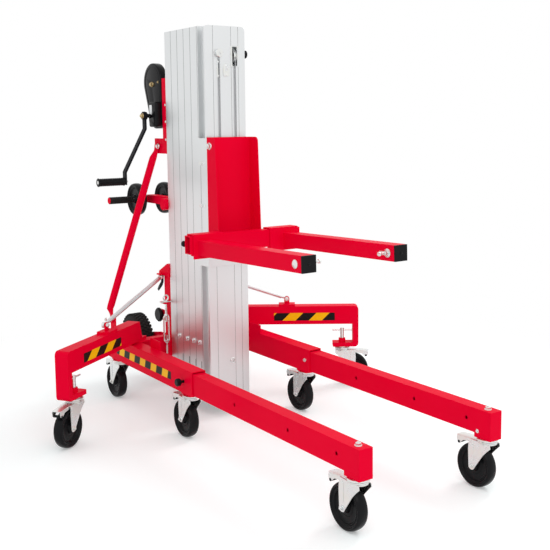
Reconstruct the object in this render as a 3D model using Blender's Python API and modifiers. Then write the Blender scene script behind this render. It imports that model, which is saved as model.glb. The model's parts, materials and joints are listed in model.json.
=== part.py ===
"""Material lift with a six-section mast, a winch, a wheeled base and two load forks.

Metres, +Z up. The machine's front is -Y, and X = 0 is its plane of symmetry.
Distances called "behind" are measured from the mast's front face towards +Y.
"""

import math

import bmesh
import bpy
from mathutils import Matrix, Vector

# Overall reach from the mast's front face
LEG_REACH = 1.286
REAR_REACH = 0.823
MAST_FRONT_Y = (LEG_REACH - REAR_REACH) / 2

# The gap between pieces that touch, and how far a cutter runs past the faces it cuts
FIT = 0.0003
PAST = 0.010

# Mast sections
MAST_WIDTH = 0.200
MAST_TOP = 1.715
MAST_BOTTOM = 0.062
SECTION_COUNT = 6
SECTION_PITCH = 0.0592
SECTION_GAP = 0.0006
SECTION_WALL = 0.004
SECTION_WEB = 0.006
LIP_LENGTH = 0.025
LIP_THICKNESS = 0.006
HOOK_INSET = 0.007
HOOK_NECK = 0.004
HOOK_THICKNESS = 0.005
HOOK_REACH = 0.017
FRONT_SECTION_DEPTH = 0.068
FRONT_FLANGE = 0.011
SPINE_HALF_WIDTH = 0.076
SPINE_INSET = 0.002
WALL_TAPER = 0.001
FRONT_CORNER = 0.018

# Lifting cables, their anchor and the top pulley
PULLEY_X = 0.048
ANCHOR_X = -0.032
PULLEY_DROP = 0.125
PULLEY_RADIUS = 0.0325
PULLEY_GROOVE_RADIUS = 0.028
PULLEY_WIDTH = 0.012
PULLEY_BORE = 0.0055
PULLEY_PIN = 0.005
PULLEY_SLOT_WIDTH = 0.036
PULLEY_SLOT_HEIGHT = 0.085
PULLEY_SLOT_RUNOUT = 0.005
PULLEY_GROOVE_FLARE = 0.001
PULLEY_PIN_STANDOUT = 0.004
CABLE_RADIUS = 0.0025
CABLE_AHEAD = 0.0055
CABLE_TOP_DROP = 0.0053
CABLE_SEAT_DROP = 0.0397
CABLE_BLOCK_HEIGHT = 0.020
CABLE_BLOCK_WIDTH = 0.020
ANCHOR_RADIUS = 0.015
ANCHOR_STANDOUT = 0.009

# Carriage
CARRIAGE_HEIGHT = 0.557
CARRIAGE_TOP_DROP = 0.003
CARRIAGE_SIDE_GAP = 0.0025
CARRIAGE_WALL = 0.005
CARRIAGE_FRONT_GAP = 0.010
CARRIAGE_FRONT_WALL = 0.006
CARRIAGE_SIDE_DEPTH = 0.058
CARRIAGE_LIP_REACH = 0.024
CARRIAGE_LIP_GAP = 0.0015

# Load frame: a tray with side gussets, and the crossbar welded to it
TRAY_HEIGHT = 0.491
TRAY_SKIRT = 0.018
TRAY_HALF_WIDTH = 0.108
TRAY_WALL = 0.004
GUSSET_TOP_DEPTH = 0.085
GUSSET_LOW_DEPTH = 0.103
GUSSET_NOTCH_RISE = 0.045
GUSSET_CORNER = 0.020
CROSSBAR_HALF_LENGTH = 0.275
CROSSBAR_BOTTOM = 0.770
CROSSBAR_HEIGHT = 0.075
CROSSBAR_DEPTH = 0.045
CROSSBAR_REAR = -0.110
TUBE_WALL = 0.004

# Forks
FORK_TUBE = 0.062
FORK_INSIDE = 0.182
FORK_REACH = 0.880
FORK_DROP = 0.006
FORK_RISE_DEG = 1.66
HOOK_PLATE = 0.008
HOOK_PLATE_INSIDE = 0.115
HOOK_PLATE_OUTSIDE = 0.262
HOOK_PLATE_SKIRT = 0.020
HOOK_CLEARANCE = 0.0004
HOOK_TOP_THICKNESS = 0.0055
HOOK_LIP_DROP = 0.027
HOOK_LIP_THICKNESS = 0.005
HOOK_TOE = 0.020
CAP_THICKNESS = 0.006
CAP_PLUG = 0.018

# Side beams and telescopic legs
BEAM_INSIDE = 0.263
BEAM_WIDTH = 0.064
BEAM_HEIGHT = 0.1025
BEAM_BOTTOM = 0.2015
BEAM_FRONT = -0.239
BEAM_REAR = 0.620
LEG_FIT = 0.0007
LEG_HEIGHT = 0.0885
LEG_BOTTOM = 0.2075
LEG_INSERTED = 0.289
LEG_HOLES = (0.115, 0.385, 0.731)
LEG_HOLE_RADIUS = 0.007
PLUNGER_SETBACK = 0.072
PLUNGER_TRAVEL = 0.012
PLUNGER_PIN = 0.0055
PLUNGER_KNOB_RADIUS = 0.016
PLUNGER_KNOB_LENGTH = 0.022
PLUNGER_KNOB_ROUND = 0.003
SIDE_PLATE_FRONT = 0.155
SIDE_PLATE_REAR = 0.250
SIDE_PLATE_TOP = 0.345
SIDE_PLATE_THICKNESS = 0.005

# Casters
WHEEL_RADIUS = 0.080
WHEEL_WIDTH = 0.042
WHEEL_STEPS = 16
WHEEL_BORE = 0.0065
WHEEL_HUB_RADIUS = 0.022
WHEEL_HUB_STANDOUT = 0.0015
WHEEL_WEB_INSIDE = 0.030
WHEEL_WEB_OUTSIDE = 0.056
WHEEL_RIM_RADIUS = 0.069
WHEEL_DISH = 0.0095
WHEEL_SHOULDER = 0.0085
AXLE_RADIUS = 0.006
AXLE_STANDOUT = 0.004
CASTER_TRAIL = 0.050
CASTER_HEIGHT = 0.1925
CHEEK_GAP = 0.0030
CHEEK_THICKNESS = 0.0030
CHEEK_EYE_RADIUS = 0.014
CHEEK_REAR = 0.052
CROWN_TOP = 0.1705
CROWN_THICKNESS = 0.0050
CROWN_SKIRT = 0.0225
CROWN_REAR = 0.040
CROWN_RIM = 0.003
HEAD_RADIUS = 0.030
KINGPIN_RADIUS = 0.006
KINGPIN_BORE = 0.0065
KINGPIN_LENGTH = 0.020
PEDAL_WIDTH = 0.040
PEDAL_THICKNESS = 0.003
PEDAL_BEND = 0.085
PEDAL_REACH = 0.130
PEDAL_DROP = 0.0175
FRONT_CASTER = 0.038
MID_CASTER = -0.174
REAR_CASTER = 0.515
CASTER_PLATE_LENGTH = 0.075

# Rear frame
COLUMN_DEPTH = 0.060
COLUMN_BOTTOM = 0.200
COLUMN_TOP = 0.600
COLUMN_WALL = 0.005
CROSS_MEMBER_FRONT = 0.372
CROSS_MEMBER_DEPTH = 0.040
CROSS_MEMBER_BOTTOM = 0.212
HOOD_TOP = 0.650
HOOD_BOTTOM = 0.589
HOOD_DEPTH = 0.103
HOOD_WALL = 0.006
HOOD_EDGE = 0.017
HOOD_FLAT = 0.020
EAR_REACH = 0.030
EAR_THICKNESS = 0.006
EAR_BOTTOM = 0.594
SADDLE_THICKNESS = 0.0074
SADDLE_INSIDE = 0.215
SADDLE_FRONT = 0.345
SADDLE_REAR = 0.445
TYRE_RADIUS = 0.132
TYRE_WIDTH = 0.065
TYRE_X = 0.127
TYRE_BEHIND = 0.676
TYRE_HEIGHT = 0.235
TYRE_STEPS = 18
TYRE_AXLE = 0.010
TYRE_HUB_RADIUS = 0.033
TYRE_HUB_INSET = 0.003
TYRE_RIM_RADIUS = 0.078
TYRE_DISH = 0.018
TYRE_SHOULDER = 0.016
AXLE_PLATE_X = 0.082
AXLE_PLATE_THICKNESS = 0.006
AXLE_PLATE_END = 0.024
AXLE_PLATE_HEIGHT = 0.088
AXLE_PLATE_LOW_HEIGHT = 0.050
AXLE_PLATE_SHOULDER = 0.136
KNOB_RADIUS = 0.034
KNOB_LENGTH = 0.018
KNOB_ROUND = 0.006
KNOB_EAR = 0.022
KNOB_EAR_HEIGHT = 0.050
KNOB_STUD = 0.006
KNOB_STUD_LENGTH = 0.004
KNOB_BEHIND = 0.462
KNOB_HEIGHT = 0.395

# Turnbuckle beside the column
TURNBUCKLE_X = -0.132
TURNBUCKLE_BEHIND = 0.352
TURNBUCKLE_LOW = 0.229
TURNBUCKLE_HIGH = 0.468
TURNBUCKLE_ROD = 0.005
TURNBUCKLE_BODY_LENGTH = 0.115
TURNBUCKLE_BODY_WIDTH = 0.026
TURNBUCKLE_BODY_DEPTH = 0.012
TURNBUCKLE_BAR = 0.006
TURNBUCKLE_END = 0.012
LUG_THICKNESS = 0.007
LUG_OVERHANG = 0.012
LUG_DEPTH = 0.021

# Outrigger arms, seen from above they lean forward from the X axis
ARM_ANGLE_DEG = 35.28
ARM_PIVOT_X = 0.255
ARM_PIVOT_BEHIND = 0.3956
ARM_LENGTH = 0.627
ARM_ROOT = 0.020
ARM_WIDTH = 0.060
ARM_HEIGHT = 0.090
ARM_BOTTOM = 0.312
POST_THICKNESS = 0.028
POST_BOTTOM = 0.197
STUB_THICKNESS = 0.020
STUB_START = 0.500
ARM_CORNER = 0.018
ARM_TONGUE = 0.012
ARM_END_LOW = 0.019
ARM_END_TOP = 0.040
PIVOT_RADIUS = 0.008
PIVOT_CLEARANCE = 0.0005
PIVOT_HEAD_RADIUS = 0.014
PIVOT_HEAD = 0.008
JACK_U = 0.547
JACK_RADIUS = 0.010
JACK_TOP = 0.286
JACK_BOSS_RADIUS = 0.017
JACK_BOSS_TOP = 0.235
JACK_FLANGE = 0.0037
JACK_FLANGE_RADIUS = 0.028
JACK_BAR_HEIGHT = 0.275
JACK_BAR_LENGTH = 0.100
JACK_BAR_RADIUS = 0.004
LUG_U = 0.2735
LUG_WIDTH = 0.026
LUG_PLATE = 0.006
LUG_BASE_LENGTH = 0.080
LUG_BASE_HEIGHT = 0.010
LUG_PIN = 0.004
PIN_STANDOUT = 0.003

# Braces between the column's hood and the outrigger arms
BRACE_RADIUS = 0.010
BRACE_EYE_RADIUS = 0.013
BRACE_EYE_THICKNESS = 0.014
BRACE_FOOT_THICKNESS = 0.012
BRACE_FOOT_BORE = 0.006
BRACE_FOOT_GAP = 0.0030
BRACE_NECK_RADIUS = 0.006
BRACE_NECK_LENGTH = 0.030
BRACE_FOOT_HEIGHT = 0.4345
BRACE_TOP_HEIGHT = 0.582
BRACE_X = 0.115
BRACE_BEHIND = 0.430

# Diagonal struts from the mast's back to the side beams
STRUT_RADIUS = 0.0175
STRUT_INSET = 0.003
STRUT_TAB = 0.008
STRUT_TAB_WIDTH = 0.030
STRUT_TOP_BEHIND = 0.462
STRUT_FOOT_BEHIND = 0.580
STRUT_BRACKET_HEIGHT = 0.070
STRUT_TAB_DROP = 0.010
STRUT_BRACKET_DEPTH = 0.121
STRUT_TUBE_DROP = 0.015
STRUT_TUBE_FOOT = 0.420
STRUT_FOOT_HEIGHT = 0.360
FOOT_BRACKET_X = 0.294
FOOT_BRACKET_THICKNESS = 0.006
FOOT_BRACKET_WIDTH = 0.055
FOOT_BRACKET_TOP = 0.400
BRACKET_WALL = 0.006

# Winch
CHANNEL_BOTTOM = 1.235
CHANNEL_HEIGHT = 0.275
CHANNEL_DEPTH = 0.036
CHANNEL_WALL = 0.005
DRUM_BEHIND = 0.490
DRUM_RISE = 0.186
DRUM_CORE = 0.032
DRUM_FLANGE = 0.075
DRUM_FLANGE_THICKNESS = 0.003
DRUM_SIDE_GAP = 0.006
DRUM_AXLE = 0.008
DRUM_HEAD = 0.014
DRUM_NUT = 0.008
CRANK_BEHIND = 0.465
CRANK_RISE = 0.040
SHAFT_RADIUS = 0.009
SHAFT_CLEARANCE = 0.0005
WINCH_PLATE_X = 0.058
WINCH_PLATE = 0.004
WINCH_BASE = 0.005
WINCH_RISE = 0.065
WINCH_HEIGHT = 0.200
WINCH_PLATE_HEIGHT = 0.235
WINCH_PLATE_REACH = 0.052
WINCH_PLATE_TOE = 0.040
TIE_ROD = 0.005
TIE_ROD_RISE = 0.085
TIE_ROD_SPREAD = 0.040
TIE_ROD_STANDOUT = 0.003
COVER_DEPTH = 0.038
COVER_RADIUS = 0.087
COVER_LOW_RADIUS = 0.060
BRAKE_RADIUS = 0.038
BRAKE_DEPTH = 0.028

# Crank
CRANK_HUB_X = 0.160
CRANK_HUB_RADIUS = 0.018
CRANK_HUB_LENGTH = 0.020
CRANK_BEND = 0.060
CRANK_END_BEND = 0.257
CRANK_RADIUS = 0.300
CRANK_OUT_X = 0.267
CRANK_BAR = 0.008
CRANK_BAR_WIDTH = 0.030
SPINDLE_RADIUS = 0.007
SPINDLE_INSET = 0.004
GRIP_RADIUS = 0.018
GRIP_LENGTH = 0.130
GRIP_ROUND = 0.004
GRIP_COLLAR_RADIUS = 0.020
GRIP_COLLAR_LENGTH = 0.006
GRIP_CLEARANCE = 0.0005

# Rear handle with its loading wheels
HANDLE_HEIGHT = 0.930
HANDLE_TUBE_RADIUS = 0.0275
HANDLE_TUBE_HALF = 0.115
HANDLE_ARM = 0.040
HANDLE_BAR_RADIUS = 0.010
LOADING_WHEEL_X = 0.077
HANDLE_GRIP_RADIUS = 0.016
HANDLE_GRIP_START = 0.130
HANDLE_GRIP_END = 0.228

# Values that follow from those above
PULLEY_HEIGHT = MAST_TOP - PULLEY_DROP
CABLE_TOP = PULLEY_HEIGHT - CABLE_TOP_DROP
TRAY_BOTTOM = CROSSBAR_BOTTOM - TRAY_SKIRT
TRAY_TOP = TRAY_BOTTOM + TRAY_HEIGHT
GUSSET_NOTCH_HEIGHT = CROSSBAR_BOTTOM + GUSSET_NOTCH_RISE
CARRIAGE_TOP = TRAY_TOP - CARRIAGE_TOP_DROP
CARRIAGE_BOTTOM = CARRIAGE_TOP - CARRIAGE_HEIGHT
CABLE_END = CARRIAGE_TOP - CABLE_SEAT_DROP
FORK_ROOT_HEIGHT = CROSSBAR_BOTTOM - FORK_DROP
HOOK_PLATE_BOTTOM = CROSSBAR_BOTTOM - HOOK_PLATE_SKIRT
MAST_HALF = MAST_WIDTH / 2
MAST_DEPTH = FRONT_SECTION_DEPTH + (SECTION_COUNT - 1) * SECTION_PITCH
BACK_FACE = MAST_DEPTH + FIT
BEAM_TOP = BEAM_BOTTOM + BEAM_HEIGHT
BEAM_CENTRE_X = BEAM_INSIDE + BEAM_WIDTH / 2
LEG_WIDTH = BEAM_WIDTH - 2 * TUBE_WALL - 2 * LEG_FIT
LEG_CENTRE_HEIGHT = LEG_BOTTOM + LEG_HEIGHT / 2
ARM_TOP = ARM_BOTTOM + ARM_HEIGHT
LUG_REAR_OFFSET = LUG_PLATE + BRACE_FOOT_GAP + BRACE_FOOT_THICKNESS / 2
CROSSBAR_FRONT = CROSSBAR_REAR - CROSSBAR_DEPTH
CHANNEL_TOP = CHANNEL_BOTTOM + CHANNEL_HEIGHT
STRUT_BRACKET_BOTTOM = CHANNEL_BOTTOM - STRUT_BRACKET_HEIGHT
STRUT_BRACKET_TOP = CHANNEL_BOTTOM - STRUT_TAB_DROP
STRUT_TUBE_TOP = STRUT_BRACKET_BOTTOM - STRUT_TUBE_DROP
WINCH_BOTTOM = CHANNEL_BOTTOM + WINCH_RISE
WINCH_TOP = WINCH_BOTTOM + WINCH_HEIGHT
WINCH_PLATE_TOP = WINCH_BOTTOM + WINCH_PLATE_HEIGHT
DRUM_HEIGHT = WINCH_BOTTOM + DRUM_RISE
CRANK_HEIGHT = WINCH_BOTTOM + CRANK_RISE
TIE_ROD_HEIGHT = WINCH_BOTTOM + TIE_ROD_RISE
PULLEY_BEHIND = PULLEY_GROOVE_RADIUS + FIT + CABLE_RADIUS - CABLE_AHEAD

# Finishes: name, colour, roughness and metallic value
RED = ("red_paint", (0.80, 0.003, 0.022), 0.35, 0.0)
ALUMINIUM = ("satin_aluminium", (0.72, 0.74, 0.75), 0.38, 1.0)
ZINC = ("bright_zinc", (0.74, 0.77, 0.80), 0.28, 1.0)
STEEL = ("cable_steel", (0.45, 0.46, 0.47), 0.35, 1.0)
BLACK_PLASTIC = ("black_nylon", (0.016, 0.016, 0.018), 0.30, 0.0)
BLACK_PAINT = ("black_paint", (0.012, 0.012, 0.013), 0.35, 0.0)
RUBBER = ("black_rubber", (0.020, 0.020, 0.020), 0.70, 0.0)


def behind(distance):
    """World Y of a point this far behind the mast's front face."""
    return MAST_FRONT_Y + distance


def clear_scene():
    for item in list(bpy.data.objects):
        bpy.data.objects.remove(item, do_unlink=True)


def new_collection(name):
    collection = bpy.data.collections.new(name)
    bpy.context.scene.collection.children.link(collection)
    return collection


def material(look):
    """The Principled material of one finish, made once."""
    name, colour, roughness, metallic = look
    found = bpy.data.materials.get(name)
    if found:
        return found
    made = bpy.data.materials.new(name)
    made.use_nodes = True
    shader = made.node_tree.nodes["Principled BSDF"]
    shader.inputs["Base Color"].default_value = (*colour, 1.0)
    shader.inputs["Roughness"].default_value = roughness
    shader.inputs["Metallic"].default_value = metallic
    made.diffuse_color = (*colour, 1.0)
    return made


def object_from_bmesh(name, shape):
    mesh = bpy.data.meshes.new(name)
    shape.to_mesh(mesh)
    shape.free()
    made = bpy.data.objects.new(name, mesh)
    CUTTERS.objects.link(made)
    made.hide_render = True
    made.display_type = "WIRE"
    return made


def box(x_span, y_span, z_span):
    """A box between two values on each axis, given in any order."""
    low = Vector((min(x_span), min(y_span), min(z_span)))
    high = Vector((max(x_span), max(y_span), max(z_span)))
    shape = bmesh.new()
    place = Matrix.Translation((low + high) / 2) @ Matrix.Diagonal((*(high - low), 1.0))
    bmesh.ops.create_cube(shape, size=1.0, matrix=place)
    return object_from_bmesh("box", shape)


def cylinder(radius, start, end, segments=16):
    start = Vector(start)
    end = Vector(end)
    along = end - start
    turn = Vector((0, 0, 1)).rotation_difference(along).to_matrix().to_4x4()
    shape = bmesh.new()
    bmesh.ops.create_cone(
        shape, cap_ends=True, segments=segments, radius1=radius, radius2=radius,
        depth=along.length, matrix=Matrix.Translation((start + end) / 2) @ turn)
    return object_from_bmesh("cylinder", shape)


def baked(item):
    """Replace an object by its evaluated, welded mesh in world space."""
    bpy.context.view_layer.update()
    evaluated = item.evaluated_get(bpy.context.evaluated_depsgraph_get())
    mesh = bpy.data.meshes.new_from_object(evaluated)
    mesh.transform(item.matrix_world)
    shape = bmesh.new()
    shape.from_mesh(mesh)
    bmesh.ops.remove_doubles(shape, verts=shape.verts, dist=0.00001)
    bmesh.ops.recalc_face_normals(shape, faces=shape.faces)
    bpy.data.objects.remove(item, do_unlink=True)
    bpy.data.meshes.remove(mesh)
    return object_from_bmesh("baked", shape)


AXIS_TURNS = {
    "X": Matrix(((0, 0, 1, 0), (1, 0, 0, 0), (0, 1, 0, 0), (0, 0, 0, 1))),
    "Y": Matrix(((1, 0, 0, 0), (0, 0, -1, 0), (0, 1, 0, 0), (0, 0, 0, 1))),
    "Z": Matrix.Identity(4),
}


def extruded(axis, outlines, span):
    """A flat outline, with any holes, extruded along an axis between two values.

    Outlines are (y, z) pairs for X, (x, z) pairs for Y and (x, y) pairs for Z.
    """
    curve = bpy.data.curves.new("outline", "CURVE")
    curve.dimensions = "2D"
    curve.fill_mode = "BOTH"
    curve.extrude = abs(span[1] - span[0]) / 2
    for outline in outlines:
        spline = curve.splines.new("POLY")
        spline.points.add(len(outline) - 1)
        for point, (across, up) in zip(spline.points, outline):
            point.co = (across, up, 0.0, 1.0)
        spline.use_cyclic_u = True
    made = bpy.data.objects.new("outline", curve)
    CUTTERS.objects.link(made)
    middle = (span[0] + span[1]) / 2
    offset = {"X": (middle, 0, 0), "Y": (0, middle, 0), "Z": (0, 0, middle)}[axis]
    made.matrix_world = Matrix.Translation(offset) @ AXIS_TURNS[axis]
    solid = baked(made)
    shape = bmesh.new()
    shape.from_mesh(solid.data)
    bmesh.ops.dissolve_limit(shape, angle_limit=0.0005, verts=shape.verts, edges=shape.edges)
    shape.to_mesh(solid.data)
    shape.free()
    return solid


def turned(profile, steps, axis_point, axis="X", half_step=False):
    """A closed (radius, along) profile turned about an axis with a Screw modifier."""
    shape = bmesh.new()
    corners = [shape.verts.new((radius, 0.0, along)) for radius, along in profile]
    for index, corner in enumerate(corners):
        following = corners[(index + 1) % len(corners)]
        if corner.co.x > 0.0 or following.co.x > 0.0:
            shape.edges.new((corner, following))
    made = object_from_bmesh("turned", shape)
    screw = made.modifiers.new("Screw", "SCREW")
    screw.steps = steps
    screw.render_steps = steps
    screw.use_merge_vertices = True
    screw.merge_threshold = 0.0001
    phase = Matrix.Rotation(math.pi / steps if half_step else 0.0, 4, "Z")
    made.matrix_world = Matrix.Translation(axis_point) @ AXIS_TURNS[axis] @ phase
    return baked(made)


def tube(start, end, radius, resolution=3):
    """A round bar between two points, as a bevelled curve with filled caps."""
    curve = bpy.data.curves.new("tube", "CURVE")
    curve.dimensions = "3D"
    curve.bevel_depth = radius
    curve.bevel_resolution = resolution
    curve.use_fill_caps = True
    spline = curve.splines.new("POLY")
    spline.points.add(1)
    spline.points[0].co = (*start, 1.0)
    spline.points[1].co = (*end, 1.0)
    made = bpy.data.objects.new("tube", curve)
    CUTTERS.objects.link(made)
    return baked(made)


def combined(target, tool, operation):
    modifier = target.modifiers.new("Boolean", "BOOLEAN")
    modifier.operation = operation
    modifier.object = tool
    modifier.solver = "EXACT"
    result = baked(target)
    bpy.data.objects.remove(tool, do_unlink=True)
    return result


def joined(target, *others):
    for other in others:
        target = combined(target, other, "UNION")
    return target


def cut(target, *tools):
    for tool in tools:
        target = combined(target, tool, "DIFFERENCE")
    return target


def finish(name, item, look, origin=(0.0, 0.0, 0.0)):
    """Name a finished sub-part, put its origin on its joint and give it its finish."""
    item.name = name
    item.data.name = name
    item.data.transform(Matrix.Translation(-Vector(origin)))
    item.location = origin
    item.data.materials.clear()
    item.data.materials.append(material(look))
    item.data.shade_smooth()
    item.data.set_sharp_from_angle(angle=math.radians(35))
    item.hide_render = False
    item.display_type = "TEXTURED"
    CUTTERS.objects.unlink(item)
    PARTS.objects.link(item)
    return item


def moved(item, matrix):
    item.data.transform(matrix)
    return item


def facing(side, item, centre):
    """Turn a right-hand piece round for the left side, about an upright line."""
    if side > 0:
        return item
    turn = Matrix.Rotation(math.pi, 4, "Z")
    return moved(item, Matrix.Translation(centre) @ turn @ Matrix.Translation(-centre))


def mirrored_outline(right):
    """A closed outline from its right half, which doesn't touch the middle line."""
    return right + [(-across, along) for across, along in reversed(right)]


def arc(centre, radius, start_deg, end_deg, steps):
    points = []
    for index in range(steps + 1):
        angle = math.radians(start_deg + (end_deg - start_deg) * index / steps)
        points.append((centre[0] + radius * math.cos(angle), centre[1] + radius * math.sin(angle)))
    return points


def placed_behind(outline):
    """Turn (x, distance behind the mast's front) pairs into world (x, y) pairs."""
    return [(across, behind(back)) for across, back in outline]


def side_view(outline):
    """Turn (distance behind the mast's front, z) pairs into world (y, z) pairs."""
    return [(behind(back), height) for back, height in outline]


def rectangle(low, high):
    return [(low[0], low[1]), (high[0], low[1]), (high[0], high[1]), (low[0], high[1])]


def side_name(side):
    return "left" if side < 0 else "right"


def hook_points():
    """The rear hooks of a section, which run inside the lips of the one behind."""
    neck_out = MAST_HALF - LIP_LENGTH - HOOK_INSET
    neck_in = neck_out - HOOK_NECK
    tip = neck_out + HOOK_REACH
    reach = 2 * SECTION_GAP + LIP_THICKNESS + HOOK_THICKNESS
    return [
        (neck_in, WALL_TAPER), (neck_in, -reach), (tip, -reach),
        (tip, HOOK_THICKNESS - reach), (neck_out, HOOK_THICKNESS - reach), (neck_out, 0.0),
    ]


def channel_profile(hooks):
    depth = SECTION_PITCH - SECTION_GAP
    inner = MAST_HALF - SECTION_WALL
    lip = MAST_HALF - LIP_LENGTH
    start = hook_points() if hooks else []
    return mirrored_outline(start + [
        (MAST_HALF, 0.0), (MAST_HALF, depth), (lip, depth), (lip, depth - LIP_THICKNESS),
        (inner, depth - LIP_THICKNESS), (inner, SECTION_WEB),
    ])


def front_section_profile():
    flange_back = FRONT_SECTION_DEPTH - FRONT_FLANGE
    return mirrored_outline(hook_points() + [
        (MAST_HALF, 0.0), (MAST_HALF, SECTION_WEB),
        (SPINE_HALF_WIDTH, SECTION_WEB + WALL_TAPER), (SPINE_HALF_WIDTH, flange_back - WALL_TAPER),
        (MAST_HALF, flange_back), (MAST_HALF, FRONT_SECTION_DEPTH),
    ])


def in_world(outline, rear):
    """Turn (x, forward of the rear face) pairs into world (x, y) pairs."""
    return [(across, behind(rear) - forward) for across, forward in outline]


def build_rear_sections():
    for index in range(SECTION_COUNT - 1):
        rear = MAST_DEPTH - index * SECTION_PITCH
        profile = in_world(channel_profile(hooks=index > 0), rear)
        section = extruded("Z", [profile], (MAST_BOTTOM, MAST_TOP))
        finish(f"mast_section_{index + 1}", section, ALUMINIUM)


def pulley_slot():
    half_width = PULLEY_SLOT_WIDTH / 2
    half_height = PULLEY_SLOT_HEIGHT / 2
    return box(
        (PULLEY_X - half_width, PULLEY_X + half_width),
        (behind(-PAST), behind(FRONT_FLANGE + PULLEY_SLOT_RUNOUT)),
        (PULLEY_HEIGHT - half_height, PULLEY_HEIGHT + half_height))


def top_corner(side):
    """What rounds a top corner of the front flange."""
    centre = MAST_HALF - FRONT_CORNER
    height = MAST_TOP - FRONT_CORNER
    outside = [(MAST_HALF + PAST, height), (MAST_HALF + PAST, MAST_TOP + PAST), (centre, MAST_TOP + PAST)]
    outline = [(side * x, z) for x, z in arc((centre, height), FRONT_CORNER, 90, 0, 5) + outside]
    return extruded("Y", [outline], (behind(-PAST), behind(FRONT_FLANGE + WALL_TAPER)))


def build_front_section():
    """The last section: a flanged bar with a hollow spine, the pulley's pin and the cable anchor."""
    profile = in_world(front_section_profile(), FRONT_SECTION_DEPTH)
    front = extruded("Z", [profile], (MAST_BOTTOM, MAST_TOP))
    inside = SPINE_HALF_WIDTH - SECTION_WALL
    front_wall = behind(FRONT_FLANGE + SPINE_INSET)
    rear_wall = behind(FRONT_SECTION_DEPTH - SECTION_WEB - SPINE_INSET)
    hollow = box((-inside, inside), (front_wall, rear_wall), (MAST_BOTTOM - PAST, MAST_TOP + PAST))
    front = cut(front, hollow, pulley_slot(), top_corner(-1), top_corner(1))
    line = behind(PULLEY_BEHIND)
    pin_root = SPINE_HALF_WIDTH - SECTION_WALL / 2
    pin_end = PULLEY_X - PULLEY_WIDTH / 2 - PULLEY_PIN_STANDOUT
    pin = cylinder(PULLEY_PIN, (pin_root, line, PULLEY_HEIGHT), (pin_end, line, PULLEY_HEIGHT), 12)
    height = CABLE_TOP + FIT + ANCHOR_RADIUS
    root = (ANCHOR_X, behind(FRONT_FLANGE / 2), height)
    anchor = cylinder(ANCHOR_RADIUS, (ANCHOR_X, behind(-ANCHOR_STANDOUT), height), root)
    finish(f"mast_section_{SECTION_COUNT}", joined(front, pin, anchor), ALUMINIUM)


def build_top_pulley():
    half = PULLEY_WIDTH / 2
    groove = PULLEY_GROOVE_RADIUS
    flat = CABLE_RADIUS + 2 * FIT
    lip = flat + PULLEY_GROOVE_FLARE
    profile = [
        (PULLEY_BORE, half), (PULLEY_RADIUS, half), (PULLEY_RADIUS, lip), (groove, flat),
        (groove, -flat), (PULLEY_RADIUS, -lip), (PULLEY_RADIUS, -half), (PULLEY_BORE, -half),
    ]
    centre = (PULLEY_X, behind(PULLEY_BEHIND), PULLEY_HEIGHT)
    finish("top_pulley", turned(profile, 20, centre), ZINC, centre)


def build_lift_cables():
    line = behind(-CABLE_AHEAD)
    for name, across in (("anchor_cable", ANCHOR_X), ("pulley_cable", PULLEY_X)):
        cable = tube((across, line, CABLE_END), (across, line, CABLE_TOP), CABLE_RADIUS, 2)
        finish(name, cable, STEEL)


def carriage_profile():
    inside = MAST_HALF + CARRIAGE_SIDE_GAP
    outside = inside + CARRIAGE_WALL
    lip_front = FRONT_FLANGE + CARRIAGE_LIP_GAP
    lip_back = lip_front + CARRIAGE_WALL
    lip_tip = inside - CARRIAGE_LIP_REACH
    face = -CARRIAGE_FRONT_GAP - CARRIAGE_FRONT_WALL
    right = [
        (outside, face), (outside, CARRIAGE_SIDE_DEPTH), (inside, CARRIAGE_SIDE_DEPTH),
        (inside, lip_back), (lip_tip, lip_back), (lip_tip, lip_front), (inside, lip_front),
        (inside, -CARRIAGE_FRONT_GAP),
    ]
    return [(across, behind(depth)) for across, depth in mirrored_outline(right)]


def build_carriage():
    carriage = extruded("Z", [carriage_profile()], (CARRIAGE_BOTTOM, CARRIAGE_TOP))
    top = CABLE_END - FIT
    for across in (ANCHOR_X, PULLEY_X):
        block = box(
            (across - CABLE_BLOCK_WIDTH / 2, across + CABLE_BLOCK_WIDTH / 2),
            (behind(-CARRIAGE_FRONT_GAP - CARRIAGE_FRONT_WALL / 2), behind(-CARRIAGE_LIP_GAP)),
            (top - CABLE_BLOCK_HEIGHT, top))
        carriage = joined(carriage, block)
    finish("carriage", carriage, ALUMINIUM)


def tray_back():
    return -CARRIAGE_FRONT_GAP - CARRIAGE_FRONT_WALL - FIT


def gusset_outline():
    corner = arc(
        (-GUSSET_TOP_DEPTH + GUSSET_CORNER, TRAY_TOP - GUSSET_CORNER), GUSSET_CORNER, 180, 90, 4)
    weld = CROSSBAR_REAR - TUBE_WALL / 3
    points = [
        (tray_back(), TRAY_TOP), (tray_back(), TRAY_BOTTOM), (weld, CROSSBAR_BOTTOM),
        (weld, GUSSET_NOTCH_HEIGHT), (-GUSSET_LOW_DEPTH, GUSSET_NOTCH_HEIGHT),
    ]
    return [(behind(depth), height) for depth, height in points + corner]


def build_load_frame():
    tray = extruded("X", [gusset_outline()], (-TRAY_HALF_WIDTH, TRAY_HALF_WIDTH))
    inside = TRAY_HALF_WIDTH - TRAY_WALL
    room = box(
        (-inside, inside), (behind(tray_back() - TRAY_WALL), behind(CROSSBAR_REAR - PAST)),
        (TRAY_BOTTOM - PAST, TRAY_TOP + PAST))
    tray = cut(tray, room)
    bar = square_tube(
        (-CROSSBAR_HALF_LENGTH, CROSSBAR_HALF_LENGTH), (behind(CROSSBAR_FRONT), behind(CROSSBAR_REAR)),
        (CROSSBAR_BOTTOM, CROSSBAR_BOTTOM + CROSSBAR_HEIGHT), "X")
    finish("load_frame", joined(tray, bar), RED)


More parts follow.
